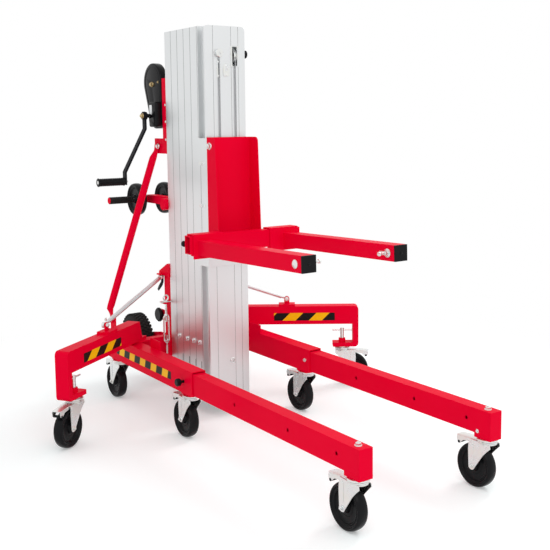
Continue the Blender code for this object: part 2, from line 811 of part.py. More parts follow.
def square_tube(x_span, y_span, z_span, axis):
    """A rectangular tube, open at both ends along the named axis."""
    spans = [list(x_span), list(y_span), list(z_span)]
    hollow = []
    for index, span in enumerate(spans):
        wall = -PAST if "XYZ"[index] == axis else TUBE_WALL
        hollow.append((min(span) + wall, max(span) - wall))
    return cut(box(*spans), box(*hollow))


def fork_hook_outline():
    """The fork's root plate, leaning back as the fork rises, with the lips that hold it."""
    face = CROSSBAR_FRONT - HOOK_CLEARANCE
    front = face - HOOK_PLATE
    back = CROSSBAR_REAR + HOOK_CLEARANCE
    under = CROSSBAR_BOTTOM - HOOK_CLEARANCE
    over = CROSSBAR_BOTTOM + CROSSBAR_HEIGHT + HOOK_CLEARANCE
    top = over + HOOK_TOP_THICKNESS
    toe = face + HOOK_TOE
    lip_bottom = top - HOOK_LIP_DROP
    lean = math.tan(math.radians(FORK_RISE_DEG)) * (top - HOOK_PLATE_BOTTOM) + FIT
    points = [
        (front, HOOK_PLATE_BOTTOM), (face, HOOK_PLATE_BOTTOM), (face, under - HOOK_PLATE),
        (toe, under - HOOK_PLATE), (toe, under), (face, under), (face, over), (back, over),
        (back, lip_bottom), (back + HOOK_LIP_THICKNESS, lip_bottom), (back + HOOK_LIP_THICKNESS, top),
        (front + lean, top),
    ]
    return [(behind(depth), height) for depth, height in points]


def fork_tilt():
    """The forks rise a little towards their tips, about the root's lower edge."""
    root = Vector((0.0, behind(CROSSBAR_FRONT - HOOK_PLATE), FORK_ROOT_HEIGHT))
    turn = Matrix.Rotation(-math.radians(FORK_RISE_DEG), 4, "X")
    return Matrix.Translation(root) @ turn @ Matrix.Translation(-root)


def build_fork(side):
    inside = side * FORK_INSIDE
    outside = side * (FORK_INSIDE + FORK_TUBE)
    tip = behind(-FORK_REACH)
    root = behind(CROSSBAR_FRONT - HOOK_CLEARANCE - HOOK_PLATE / 2)
    heights = (FORK_ROOT_HEIGHT, FORK_ROOT_HEIGHT + FORK_TUBE)
    wall = side * TUBE_WALL
    blade = box((inside, outside), (tip, root), heights)
    hollow = box(
        (inside + wall, outside - wall), (tip - PAST, root - 2 * HOOK_PLATE),
        (heights[0] + TUBE_WALL, heights[1] - TUBE_WALL))
    blade = moved(cut(blade, hollow), fork_tilt())
    plate = extruded("X", [fork_hook_outline()], (side * HOOK_PLATE_INSIDE, side * HOOK_PLATE_OUTSIDE))
    origin = (side * (HOOK_PLATE_INSIDE + HOOK_PLATE_OUTSIDE) / 2, behind(CROSSBAR_FRONT), CROSSBAR_BOTTOM)
    finish(f"fork_{side_name(side)}", joined(plate, blade), RED, origin)
    lid = box((inside, outside), (tip - FIT, tip - FIT - CAP_THICKNESS), heights)
    inset = side * (TUBE_WALL + HOOK_CLEARANCE)
    plug = box(
        (inside + inset, outside - inset), (tip - CAP_THICKNESS / 2, tip + CAP_PLUG),
        (heights[0] + abs(inset), heights[1] - abs(inset)))
    cap = moved(joined(lid, plug), fork_tilt())
    finish(f"fork_cap_{side_name(side)}", cap, BLACK_PLASTIC, origin)


def wheel_profile(bore):
    """Half of a caster wheel's section is mirrored, so both faces have the same dished web."""
    half = WHEEL_WIDTH / 2
    hub_face = half + WHEEL_HUB_STANDOUT
    web = half - WHEEL_DISH
    tread = WHEEL_RADIUS / math.cos(math.pi / WHEEL_STEPS)
    upper = [
        (bore, hub_face), (WHEEL_HUB_RADIUS, hub_face), (WHEEL_WEB_INSIDE, web), (WHEEL_WEB_OUTSIDE, web),
        (WHEEL_RIM_RADIUS, half), (tread, half - WHEEL_SHOULDER),
    ]
    return upper + [(reach, -along) for reach, along in reversed(upper)]


def build_wheel(name, centre, bore):
    wheel = turned(wheel_profile(bore), WHEEL_STEPS, centre, half_step=True)
    return finish(name, wheel, BLACK_PLASTIC, centre)


def caster_fork_outline():
    """The cheeks' side view, with the swivel axis at 0 and the wheel trailing to +Y."""
    hub = (CASTER_TRAIL, WHEEL_RADIUS)
    front = -HEAD_RADIUS - CROWN_RIM
    low = CROWN_TOP - CROWN_SKIRT
    eye = arc(hub, CHEEK_EYE_RADIUS, 200, 340, 4)
    return [(front, CROWN_TOP), (front, low)] + eye + [(CHEEK_REAR, low), (CROWN_REAR, CROWN_TOP)]


def pedal_outline():
    """The brake pedal's side view: flat behind the head, then sloping down over the wheel."""
    top = CROWN_TOP - PEDAL_THICKNESS / 3
    low = top - PEDAL_THICKNESS
    start = CROWN_REAR - 2 * PEDAL_THICKNESS
    return [
        (start, top), (start, low), (PEDAL_BEND, low),
        (PEDAL_REACH - PEDAL_THICKNESS / 3, low - PEDAL_DROP), (PEDAL_REACH, top - PEDAL_DROP),
        (PEDAL_BEND, top),
    ]


def caster_fork_mesh():
    """Swivel head, two cheeks, axle and brake pedal of a caster."""
    inner = WHEEL_WIDTH / 2 + CHEEK_GAP
    outer = inner + CHEEK_THICKNESS
    fork = extruded("X", [caster_fork_outline()], (-outer, outer))
    fork = cut(fork, box(
        (-inner, inner), (-PEDAL_REACH, PEDAL_REACH), (0.0, CROWN_TOP - CROWN_THICKNESS)))
    head = cylinder(HEAD_RADIUS, (0, 0, CROWN_TOP - CROWN_THICKNESS / 2), (0, 0, CASTER_HEIGHT), 14)
    reach = outer + AXLE_STANDOUT
    axle = cylinder(AXLE_RADIUS, (-reach, CASTER_TRAIL, WHEEL_RADIUS), (reach, CASTER_TRAIL, WHEEL_RADIUS), 8)
    pedal = extruded("X", [pedal_outline()], (-PEDAL_WIDTH / 2, PEDAL_WIDTH / 2))
    fork = joined(fork, head, axle, pedal)
    bore = cylinder(KINGPIN_BORE, (0, 0, CROWN_TOP - 2 * PAST), (0, 0, CASTER_HEIGHT + PAST), 8)
    return cut(fork, bore)


def build_caster(name, swivel, heading_deg):
    """A braked swivel caster, whose wheel trails along the heading."""
    turn = Matrix.Rotation(math.radians(heading_deg - 90.0), 4, "Z")
    place = Matrix.Translation((swivel[0], swivel[1], 0.0)) @ turn
    fork = moved(caster_fork_mesh(), place)
    finish(f"caster_fork_{name}", fork, ZINC, (swivel[0], swivel[1], CASTER_HEIGHT))
    hub = Vector((0.0, CASTER_TRAIL, WHEEL_RADIUS))
    wheel = turned(wheel_profile(WHEEL_BORE), WHEEL_STEPS, hub, half_step=True)
    centre = place @ hub
    finish(f"caster_wheel_{name}", moved(wheel, place), BLACK_PLASTIC, centre)


def kingpin(x, y, underside):
    """A caster's top plate with the pin that its head turns on."""
    plate = box(
        (x - BEAM_WIDTH / 2 + TUBE_WALL, x + BEAM_WIDTH / 2 - TUBE_WALL),
        (y - CASTER_PLATE_LENGTH / 2, y + CASTER_PLATE_LENGTH / 2),
        (CASTER_HEIGHT + FIT, underside + TUBE_WALL / 8))
    pin = cylinder(KINGPIN_RADIUS, (x, y, CASTER_HEIGHT - KINGPIN_LENGTH), (x, y, underside), 8)
    return joined(plate, pin)


def build_side_beam(side):
    inside = side * BEAM_INSIDE
    outside = side * (BEAM_INSIDE + BEAM_WIDTH)
    centre = side * BEAM_CENTRE_X
    beam = square_tube(
        (inside, outside), (behind(BEAM_FRONT), behind(BEAM_REAR)), (BEAM_BOTTOM, BEAM_TOP), "Y")
    for swivel in (MID_CASTER, REAR_CASTER):
        beam = joined(beam, kingpin(centre, behind(swivel), BEAM_BOTTOM))
    half = FOOT_BRACKET_WIDTH / 2
    foot = box(
        (side * FOOT_BRACKET_X, side * (FOOT_BRACKET_X + FOOT_BRACKET_THICKNESS)),
        (behind(STRUT_FOOT_BEHIND - half), behind(STRUT_FOOT_BEHIND + half)),
        (BEAM_TOP - TUBE_WALL / 2, FOOT_BRACKET_TOP))
    plate = box(
        (inside, inside + side * SIDE_PLATE_THICKNESS), (behind(SIDE_PLATE_FRONT), behind(SIDE_PLATE_REAR)),
        (BEAM_TOP - TUBE_WALL / 2, SIDE_PLATE_TOP))
    beam = joined(beam, foot, plate)
    pin_line = behind(BEAM_FRONT + PLUNGER_SETBACK)
    pin_hole = cylinder(
        PLUNGER_PIN + PIVOT_CLEARANCE, (outside + side * PAST, pin_line, LEG_CENTRE_HEIGHT),
        (outside - side * 2 * PAST, pin_line, LEG_CENTRE_HEIGHT), 10)
    beam = cut(beam, pin_hole)
    finish(f"side_beam_{side_name(side)}", beam, RED)


def build_leg(side):
    half = LEG_WIDTH / 2
    centre = side * BEAM_CENTRE_X
    front = behind(-LEG_REACH)
    rear = behind(BEAM_FRONT + LEG_INSERTED)
    heights = (LEG_BOTTOM, LEG_BOTTOM + LEG_HEIGHT)
    leg = box((centre - half, centre + half), (front, rear), heights)
    room = half - TUBE_WALL
    leg = cut(leg, box(
        (centre - room, centre + room), (front + TUBE_WALL, rear + PAST),
        (heights[0] + TUBE_WALL, heights[1] - TUBE_WALL)))
    swivel = front + FRONT_CASTER
    leg = joined(leg, kingpin(centre, swivel, LEG_BOTTOM))
    stations = [front + setback for setback in LEG_HOLES]
    stations.append(behind(BEAM_FRONT + PLUNGER_SETBACK))
    for station in stations:
        hole = cylinder(
            LEG_HOLE_RADIUS, (centre - BEAM_WIDTH, station, LEG_CENTRE_HEIGHT),
            (centre + BEAM_WIDTH, station, LEG_CENTRE_HEIGHT), 8)
        leg = cut(leg, hole)
    finish(f"leg_{side_name(side)}", leg, RED, (centre, rear, LEG_CENTRE_HEIGHT))


def build_plunger(side):
    """A spring plunger, drawn back so that its pin just clears the leg."""
    tip = BEAM_CENTRE_X + LEG_WIDTH / 2 + FIT
    knob = BEAM_INSIDE + BEAM_WIDTH + PLUNGER_TRAVEL + 2 * FIT
    end = knob + PLUNGER_KNOB_LENGTH
    profile = [
        (0.0, end), (PLUNGER_KNOB_RADIUS - PLUNGER_KNOB_ROUND, end),
        (PLUNGER_KNOB_RADIUS, end - PLUNGER_KNOB_ROUND), (PLUNGER_KNOB_RADIUS, knob + 2 * PLUNGER_KNOB_ROUND),
        (PLUNGER_KNOB_RADIUS - 2 * PLUNGER_KNOB_ROUND, knob), (PLUNGER_PIN, knob), (PLUNGER_PIN, tip),
        (0.0, tip),
    ]
    line = Vector((0.0, behind(BEAM_FRONT + PLUNGER_SETBACK), LEG_CENTRE_HEIGHT))
    plunger = facing(side, turned(profile, 14, line), line)
    finish(f"plunger_{side_name(side)}", plunger, BLACK_PLASTIC, (side * knob, line.y, line.z))


def build_column():
    """A channel behind the mast, open to the rear."""
    inner = MAST_HALF - COLUMN_WALL
    depth = MAST_DEPTH + COLUMN_DEPTH
    profile = mirrored_outline([
        (MAST_HALF, BACK_FACE), (MAST_HALF, depth), (inner, depth), (inner, BACK_FACE + COLUMN_WALL)])
    return extruded("Z", [placed_behind(profile)], (COLUMN_BOTTOM, COLUMN_TOP))


def build_hood():
    """The sloped head of the column, with an ear and a pin for each brace."""
    half = MAST_HALF + COLUMN_WALL
    rear = BACK_FACE + HOOD_DEPTH
    outline = [
        (BACK_FACE, HOOD_BOTTOM), (rear, HOOD_BOTTOM), (rear, HOOD_BOTTOM + HOOD_EDGE),
        (BACK_FACE + HOOD_FLAT, HOOD_TOP), (BACK_FACE, HOOD_TOP),
    ]
    hood = extruded("X", [side_view(outline)], (-half, half))
    room = box(
        (HOOD_WALL - half, half - HOOD_WALL), (behind(BACK_FACE + HOOD_WALL), behind(rear - HOOD_WALL)),
        (HOOD_BOTTOM - PAST, HOOD_BOTTOM + HOOD_EDGE - HOOD_WALL))
    hood = cut(hood, room)
    for side in (-1, 1):
        ear = box(
            (side * (half - HOOD_WALL / 2), side * (MAST_HALF + EAR_REACH)),
            (behind(BRACE_BEHIND - BRACE_EYE_RADIUS), behind(BRACE_BEHIND + BRACE_EYE_RADIUS)),
            (EAR_BOTTOM, EAR_BOTTOM + EAR_THICKNESS))
        spot = (side * BRACE_X, behind(BRACE_BEHIND))
        pin_low = BRACE_TOP_HEIGHT - BRACE_EYE_THICKNESS / 2 - PIN_STANDOUT
        pin = cylinder(LUG_PIN, (*spot, pin_low), (*spot, EAR_BOTTOM + EAR_THICKNESS / 2), 10)
        hood = joined(hood, ear, pin)
    return hood


def build_saddle(side):
    """The plate over a side beam that an outrigger arm turns on."""
    outside = side * (BEAM_INSIDE + BEAM_WIDTH)
    bottom = BEAM_TOP + FIT
    saddle = box(
        (side * SADDLE_INSIDE, outside), (behind(SADDLE_FRONT), behind(SADDLE_REAR)),
        (bottom, bottom + SADDLE_THICKNESS))
    x = side * ARM_PIVOT_X
    y = behind(ARM_PIVOT_BEHIND)
    seat = ARM_BOTTOM + ARM_TONGUE
    shank = cylinder(PIVOT_RADIUS, (x, y, bottom + SADDLE_THICKNESS / 2), (x, y, seat + PIVOT_HEAD / 2), 12)
    head = cylinder(PIVOT_HEAD_RADIUS, (x, y, seat + FIT), (x, y, seat + PIVOT_HEAD), 6)
    return joined(saddle, shank, head)


def build_axle_plates():
    """Two plates from the column that carry the transport wheels' axle."""
    start = BACK_FACE + COLUMN_WALL / 2
    end = TYRE_BEHIND + AXLE_PLATE_END
    low = CROSS_MEMBER_BOTTOM
    outline = side_view([
        (start, low), (end, low), (end, low + AXLE_PLATE_LOW_HEIGHT),
        (BACK_FACE + AXLE_PLATE_SHOULDER, low + AXLE_PLATE_HEIGHT), (start, low + AXLE_PLATE_HEIGHT)])
    outer = AXLE_PLATE_X + AXLE_PLATE_THICKNESS
    right = extruded("X", [outline], (AXLE_PLATE_X, outer))
    left = extruded("X", [outline], (-outer, -AXLE_PLATE_X))
    reach = TYRE_X + TYRE_WIDTH / 2 + AXLE_STANDOUT
    line = behind(TYRE_BEHIND)
    axle = cylinder(TYRE_AXLE, (-reach, line, TYRE_HEIGHT), (reach, line, TYRE_HEIGHT), 14)
    return right, left, axle


def build_knob_ears():
    """Ears at the back of the column's side walls; the knob's stud meets the left one."""
    ears = []
    for side in (-1, 1):
        ears.append(box(
            (side * MAST_HALF, side * (MAST_HALF - COLUMN_WALL)),
            (behind(MAST_DEPTH + COLUMN_DEPTH - PAST), behind(KNOB_BEHIND + KNOB_EAR)),
            (KNOB_HEIGHT - KNOB_EAR_HEIGHT / 2, KNOB_HEIGHT + KNOB_EAR_HEIGHT / 2)))
    return ears


def build_turnbuckle_lugs():
    """Two lugs on the column's left wall, which reach past the mast's side."""
    lugs = []
    seat = -(MAST_HALF - COLUMN_WALL / 2)
    outer = TURNBUCKLE_X - LUG_OVERHANG
    inner = TURNBUCKLE_X + LUG_OVERHANG
    front = TURNBUCKLE_BEHIND - LUG_OVERHANG
    root = BACK_FACE + COLUMN_WALL / 2
    back = root + LUG_DEPTH
    outline = placed_behind([
        (seat, root), (seat, back), (outer, back), (outer, front), (inner, front), (inner, root)])
    for low in (TURNBUCKLE_LOW - LUG_THICKNESS, TURNBUCKLE_HIGH):
        lugs.append(extruded("Z", [outline], (low, low + LUG_THICKNESS)))
    return lugs


def build_rear_frame():
    frame = build_column()
    member = box(
        (-BEAM_INSIDE + FIT, BEAM_INSIDE - FIT),
        (behind(CROSS_MEMBER_FRONT), behind(CROSS_MEMBER_FRONT + CROSS_MEMBER_DEPTH)),
        (CROSS_MEMBER_BOTTOM, BEAM_TOP + FIT + SADDLE_THICKNESS / 2))
    frame = joined(frame, member, build_saddle(-1), build_saddle(1))
    frame = joined(frame, *build_axle_plates())
    frame = joined(frame, *build_knob_ears())
    frame = joined(frame, *build_turnbuckle_lugs())
    frame = joined(frame, build_hood())
    finish("rear_frame", frame, RED)


def build_transport_wheel(side):
    """A treaded tyre on a dished rim, as one solid."""
    half = TYRE_WIDTH / 2
    hub_face = half - TYRE_HUB_INSET
    web = half - TYRE_DISH
    upper = [
        (TYRE_AXLE + PIVOT_CLEARANCE, hub_face), (TYRE_HUB_RADIUS, hub_face), (TYRE_HUB_RADIUS, web),
        (TYRE_RIM_RADIUS, web), (TYRE_RIM_RADIUS, hub_face), (TYRE_RADIUS - TYRE_SHOULDER, half),
        (TYRE_RADIUS, half - TYRE_SHOULDER),
    ]
    profile = upper + [(reach, -along) for reach, along in reversed(upper)]
    centre = (side * TYRE_X, behind(TYRE_BEHIND), TYRE_HEIGHT)
    finish(f"transport_wheel_{side_name(side)}", turned(profile, TYRE_STEPS, centre), RUBBER, centre)


def build_frame_knob():
    root = -MAST_HALF - FIT
    body = root - KNOB_STUD_LENGTH
    end = body - KNOB_LENGTH
    profile = [
        (0.0, root), (KNOB_STUD, root), (KNOB_STUD, body), (KNOB_RADIUS - KNOB_ROUND, body),
        (KNOB_RADIUS, body - KNOB_ROUND), (KNOB_RADIUS, end + KNOB_ROUND), (KNOB_RADIUS - KNOB_ROUND, end),
        (0.0, end),
    ]
    line = (0.0, behind(KNOB_BEHIND), KNOB_HEIGHT)
    finish("frame_knob", turned(profile, 16, line), BLACK_PLASTIC, (body, line[1], line[2]))


def build_turnbuckle():
    x = TURNBUCKLE_X
    y = behind(TURNBUCKLE_BEHIND)
    middle = (TURNBUCKLE_LOW + TURNBUCKLE_HIGH) / 2
    half_width = TURNBUCKLE_BODY_WIDTH / 2
    half_length = TURNBUCKLE_BODY_LENGTH / 2
    outer = rectangle((x - half_width, middle - half_length), (x + half_width, middle + half_length))
    window = half_length - TURNBUCKLE_END
    half_window = half_width - TURNBUCKLE_BAR
    inner = rectangle((x - half_window, middle - window), (x + half_window, middle + window))
    body = extruded("Y", [outer, inner], (y - TURNBUCKLE_BODY_DEPTH / 2, y + TURNBUCKLE_BODY_DEPTH / 2))
    rod_end = window / 2
    upper = cylinder(TURNBUCKLE_ROD, (x, y, middle + rod_end), (x, y, TURNBUCKLE_HIGH - FIT), 10)
    lower = cylinder(TURNBUCKLE_ROD, (x, y, TURNBUCKLE_LOW + FIT), (x, y, middle - rod_end), 10)
    finish("turnbuckle", joined(body, upper, lower), ZINC, (x, y, middle))


def arm_place(side):
    """From an arm's own axes (outward, across, up) to the world, about its pivot."""
    angle = -math.radians(ARM_ANGLE_DEG) if side > 0 else math.pi + math.radians(ARM_ANGLE_DEG)
    pivot = (side * ARM_PIVOT_X, behind(ARM_PIVOT_BEHIND), 0.0)
    return Matrix.Translation(pivot) @ Matrix.Rotation(angle, 4, "Z")


def arm_outline():
    """Side view of an arm: its tongue and sloped end, the tube, the post and the foot stub."""
    inner = ARM_LENGTH - POST_THICKNESS
    stub_top = POST_BOTTOM + STUB_THICKNESS
    turn = ARM_LENGTH - ARM_CORNER
    start = [
        (-ARM_ROOT, ARM_BOTTOM), (inner, ARM_BOTTOM), (inner, stub_top), (STUB_START, stub_top),
        (STUB_START, POST_BOTTOM),
    ]
    low_corner = arc((turn, POST_BOTTOM + ARM_CORNER), ARM_CORNER, 270, 360, 3)
    high_corner = arc((turn, ARM_TOP - ARM_CORNER), ARM_CORNER, 0, 90, 4)
    tongue_top = ARM_BOTTOM + ARM_TONGUE
    end = [(ARM_END_TOP, ARM_TOP), (ARM_END_LOW, tongue_top), (-ARM_ROOT, tongue_top)]
    return start + low_corner + high_corner + end


def lug_outline():
    half = LUG_WIDTH / 2
    root = ARM_TOP - TUBE_WALL / 2
    return [(LUG_U - half, root), (LUG_U + half, root)] + arc((LUG_U, BRACE_FOOT_HEIGHT), half, 0, 180, 5)


def brace_lug(side):
    """The plate, ear and pin on top of an arm that hold the brace's foot."""
    half_length = LUG_BASE_LENGTH / 2
    half_width = ARM_WIDTH / 2 - TUBE_WALL / 2
    base = box(
        (LUG_U - half_length, LUG_U + half_length), (-half_width, half_width),
        (ARM_TOP - TUBE_WALL / 2, ARM_TOP + LUG_BASE_HEIGHT))
    ear = extruded("Y", [lug_outline()], (0.0, side * LUG_PLATE))
    end = LUG_PLATE + BRACE_FOOT_GAP + BRACE_FOOT_THICKNESS + PIN_STANDOUT
    pin = cylinder(
        LUG_PIN, (LUG_U, side * LUG_PLATE / 2, BRACE_FOOT_HEIGHT), (LUG_U, side * end, BRACE_FOOT_HEIGHT), 10)
    return base, ear, pin


def upright(radius, outward, low, high, segments=12):
    """A vertical cylinder this far out along an arm."""
    return cylinder(radius, (outward, 0.0, low), (outward, 0.0, high), segments)


def build_arm(side):
    half = ARM_WIDTH / 2
    arm = extruded("Y", [arm_outline()], (-half, half))
    inside = half - TUBE_WALL
    room = box(
        (ARM_END_LOW + WALL_TAPER, ARM_LENGTH - POST_THICKNESS - TUBE_WALL), (-inside, inside),
        (ARM_BOTTOM + TUBE_WALL, ARM_TOP - TUBE_WALL))
    arm = joined(cut(arm, room), *brace_lug(side))
    boss = upright(JACK_BOSS_RADIUS, JACK_U, POST_BOTTOM + STUB_THICKNESS / 2, JACK_BOSS_TOP)
    screw_hole = upright(JACK_RADIUS + PIVOT_CLEARANCE, JACK_U, POST_BOTTOM - PAST, JACK_BOSS_TOP + PAST)
    pivot_hole = upright(PIVOT_RADIUS + PIVOT_CLEARANCE, 0.0, ARM_BOTTOM - PAST, ARM_TOP + PAST)
    arm = moved(cut(joined(arm, boss), screw_hole, pivot_hole), arm_place(side))
    pivot = (side * ARM_PIVOT_X, behind(ARM_PIVOT_BEHIND), ARM_BOTTOM)
    finish(f"outrigger_arm_{side_name(side)}", arm, RED, pivot)


def jack_position(side):
    return arm_place(side) @ Vector((JACK_U, 0.0, 0.0))


def build_jack(side):
    """The outrigger's foot screw with its cross handle and the caster's kingpin."""
    seat = POST_BOTTOM - FIT
    inside_flange = seat - JACK_FLANGE / 3
    screw = upright(JACK_RADIUS, JACK_U, inside_flange, JACK_TOP)
    flange = upright(JACK_FLANGE_RADIUS, JACK_U, seat - JACK_FLANGE, seat, 16)
    pin = upright(KINGPIN_RADIUS, JACK_U, CASTER_HEIGHT - KINGPIN_LENGTH, inside_flange, 8)
    near, far = JACK_U - JACK_BAR_LENGTH / 2, JACK_U + JACK_BAR_LENGTH / 2
    bar = cylinder(JACK_BAR_RADIUS, (near, 0, JACK_BAR_HEIGHT), (far, 0, JACK_BAR_HEIGHT), 8)
    jack = moved(joined(screw, flange, pin, bar), arm_place(side))
    spot = jack_position(side)
    finish(f"jack_{side_name(side)}", jack, ZINC, (spot.x, spot.y, POST_BOTTOM))


def build_brace(side):
    """A light strut from the hood's ear to the pin on an arm's lug."""
    top = Vector((side * BRACE_X, behind(BRACE_BEHIND), BRACE_TOP_HEIGHT))
    place = arm_place(side)
    foot = place @ Vector((LUG_U, side * LUG_REAR_OFFSET, BRACE_FOOT_HEIGHT))
    across = (place.to_3x3() @ Vector((0.0, 1.0, 0.0))).normalized()
    along = (foot - top).normalized()
    weld = (BRACE_EYE_RADIUS + BRACE_FOOT_BORE) / 2
    brace = tube(top + along * weld, foot - along * BRACE_NECK_LENGTH, BRACE_RADIUS, 2)
    neck = cylinder(
        BRACE_NECK_RADIUS, foot - along * (BRACE_NECK_LENGTH + BRACE_NECK_RADIUS), foot - along * weld, 8)
    rise = Vector((0.0, 0.0, BRACE_EYE_THICKNESS / 2))
    eye = cylinder(BRACE_EYE_RADIUS, top - rise, top + rise, 14)
    reach = across * BRACE_FOOT_THICKNESS / 2
    ring = cylinder(BRACE_EYE_RADIUS, foot - reach, foot + reach, 14)
    brace = joined(brace, neck, eye, ring)
    top_bore = cylinder(LUG_PIN + PIVOT_CLEARANCE, top - 3 * rise, top + 3 * rise, 10)
    foot_bore = cylinder(BRACE_FOOT_BORE, foot - 3 * reach, foot + 3 * reach, 10)
    finish(f"brace_{side_name(side)}", cut(brace, top_bore, foot_bore), ALUMINIUM, top)


def strut_solid(side):
    """One red diagonal: a tube with a flat tab at each end."""
    half = STRUT_TAB_WIDTH / 2
    tab_top_x = side * (MAST_HALF + FIT)
    tab_foot_x = side * (FOOT_BRACKET_X + FOOT_BRACKET_THICKNESS + FIT)
    tab = side * STRUT_TAB
    top = (tab_top_x + side * (STRUT_RADIUS + STRUT_INSET), behind(STRUT_TOP_BEHIND), STRUT_TUBE_TOP)
    foot = (tab_foot_x + side * (STRUT_RADIUS - STRUT_INSET), behind(STRUT_FOOT_BEHIND), STRUT_TUBE_FOOT)
    strut = tube(top, foot, STRUT_RADIUS, 2)
    upper = box(
        (tab_top_x, tab_top_x + tab), (behind(STRUT_TOP_BEHIND - half), behind(STRUT_TOP_BEHIND + half)),
        (STRUT_TUBE_TOP - STRUT_TAB_WIDTH, STRUT_BRACKET_TOP - PAST))
    lower = box(
        (tab_foot_x, tab_foot_x + tab), (behind(STRUT_FOOT_BEHIND - half), behind(STRUT_FOOT_BEHIND + half)),
        (STRUT_FOOT_HEIGHT, STRUT_TUBE_FOOT + STRUT_TAB_WIDTH))
    return joined(strut, upper, lower)


def build_diagonal_struts():
    for side in (-1, 1):
        finish(f"diagonal_strut_{side_name(side)}", strut_solid(side), RED)


def build_rear_bracket():
    """On the mast's back: the winch's channel, with the struts' bracket welded below it."""
    depth = MAST_DEPTH + CHANNEL_DEPTH
    inner = MAST_HALF - CHANNEL_WALL
    outline = mirrored_outline([
        (inner, depth - CHANNEL_WALL), (inner, BACK_FACE), (MAST_HALF, BACK_FACE), (MAST_HALF, depth)])
    upper = extruded("Z", [placed_behind(outline)], (CHANNEL_BOTTOM, CHANNEL_TOP))
    reach = MAST_DEPTH + STRUT_BRACKET_DEPTH
    bracket_inner = MAST_HALF - BRACKET_WALL
    bracket = mirrored_outline([
        (MAST_HALF, BACK_FACE), (MAST_HALF, reach), (bracket_inner, reach),
        (bracket_inner, BACK_FACE + BRACKET_WALL)])
    lower = extruded("Z", [placed_behind(bracket)], (STRUT_BRACKET_BOTTOM, CHANNEL_BOTTOM + FIT))
    finish("rear_bracket", joined(upper, lower), RED)


def winch_seat():
    return MAST_DEPTH + CHANNEL_DEPTH + FIT


def winch_plate_outline():
    """A side plate: wide round the drum's axle, narrow below at the crank's shaft."""
    seat = winch_seat() + WINCH_BASE / 2
    low = WINCH_BOTTOM + FIT
    rear = DRUM_BEHIND + WINCH_PLATE_REACH
    return side_view([
        (seat, low), (CRANK_BEHIND, low), (CRANK_BEHIND + WINCH_PLATE_TOE, low + WINCH_PLATE_TOE),
        (rear, DRUM_HEIGHT - WINCH_PLATE_TOE), (rear, DRUM_HEIGHT + WINCH_PLATE_TOE),
        (DRUM_BEHIND, WINCH_PLATE_TOP), (seat, WINCH_PLATE_TOP)])


def build_winch_frame():
    seat = winch_seat()
    outer = WINCH_PLATE_X + WINCH_PLATE
    frame = box((-outer, outer), (behind(seat), behind(seat + WINCH_BASE)), (WINCH_BOTTOM, WINCH_TOP))
    for side in (-1, 1):
        plate = extruded("X", [winch_plate_outline()], (side * WINCH_PLATE_X, side * outer))
        frame = joined(frame, plate)
    reach = outer + TIE_ROD_STANDOUT
    for ahead in (TIE_ROD_SPREAD, -TIE_ROD_SPREAD):
        line = behind(CRANK_BEHIND + WINCH_PLATE_TOE / 2 - ahead)
        rod = cylinder(TIE_ROD, (-reach, line, TIE_ROD_HEIGHT), (reach, line, TIE_ROD_HEIGHT), 8)
        frame = joined(frame, rod)
    finish("winch_frame", cut(frame, *shaft_holes()), BLACK_PAINT)


def shaft_holes():
    """Bores right through the winch for the crank's shaft and the drum's axle."""
    holes = []
    for radius, back, height in (
            (SHAFT_RADIUS, CRANK_BEHIND, CRANK_HEIGHT), (DRUM_AXLE, DRUM_BEHIND, DRUM_HEIGHT)):
        start = (-MAST_WIDTH, behind(back), height)
        end = (MAST_WIDTH, behind(back), height)
        holes.append(cylinder(radius + SHAFT_CLEARANCE, start, end, 12))
    return holes


def teardrop_outline():
    """The hull of the gear's circle and the smaller one round the crank's pinion."""
    high = (DRUM_BEHIND, DRUM_HEIGHT)
    low = (CRANK_BEHIND, CRANK_HEIGHT)
    span = math.dist(high, low)
    lean = math.degrees(math.atan2(high[1] - low[1], high[0] - low[0]))
    spread = math.degrees(math.acos((COVER_RADIUS - COVER_LOW_RADIUS) / span))
    upper = arc(high, COVER_RADIUS, lean - (180 - spread), lean + (180 - spread), 14)
    lower = arc(low, COVER_LOW_RADIUS, lean + (180 - spread), lean + 180 + spread, 8)
    return side_view(upper + lower)


def cover_inside():
    """Distance from the middle plane to the gear cover, which stands off the side plate."""
    return WINCH_PLATE_X + WINCH_PLATE + TIE_ROD_STANDOUT + FIT


def build_gear_cover():
    inner = -cover_inside()
    outer = inner - COVER_DEPTH
    cover = extruded("X", [teardrop_outline()], (inner, outer))
    line = behind(CRANK_BEHIND)
    brake = cylinder(
        BRAKE_RADIUS, (inner - COVER_DEPTH / 2, line, CRANK_HEIGHT),
        (outer - BRAKE_DEPTH, line, CRANK_HEIGHT), 20)
    finish("winch_gear_cover", cut(joined(cover, brake), *shaft_holes()), BLACK_PLASTIC)


def build_drum():
    """The drum, its flanges and its axle, whose left end carries the nut on the cover."""
    seat = -(cover_inside() + COVER_DEPTH + FIT)
    nut_end = seat - DRUM_NUT
    right = WINCH_PLATE_X + WINCH_PLATE + TIE_ROD_STANDOUT
    flange_out = WINCH_PLATE_X - DRUM_SIDE_GAP
    flange_in = flange_out - DRUM_FLANGE_THICKNESS
    profile = [
        (0.0, right), (DRUM_AXLE, right), (DRUM_AXLE, flange_out), (DRUM_FLANGE, flange_out),
        (DRUM_FLANGE, flange_in), (DRUM_CORE, flange_in), (DRUM_CORE, -flange_in), (DRUM_FLANGE, -flange_in),
        (DRUM_FLANGE, -flange_out), (DRUM_AXLE, -flange_out), (DRUM_AXLE, seat), (DRUM_HEAD, seat),
        (DRUM_HEAD, nut_end), (0.0, nut_end),
    ]
    centre = (0.0, behind(DRUM_BEHIND), DRUM_HEIGHT)
    finish("winch_drum", turned(profile, 18, centre), ZINC, centre)


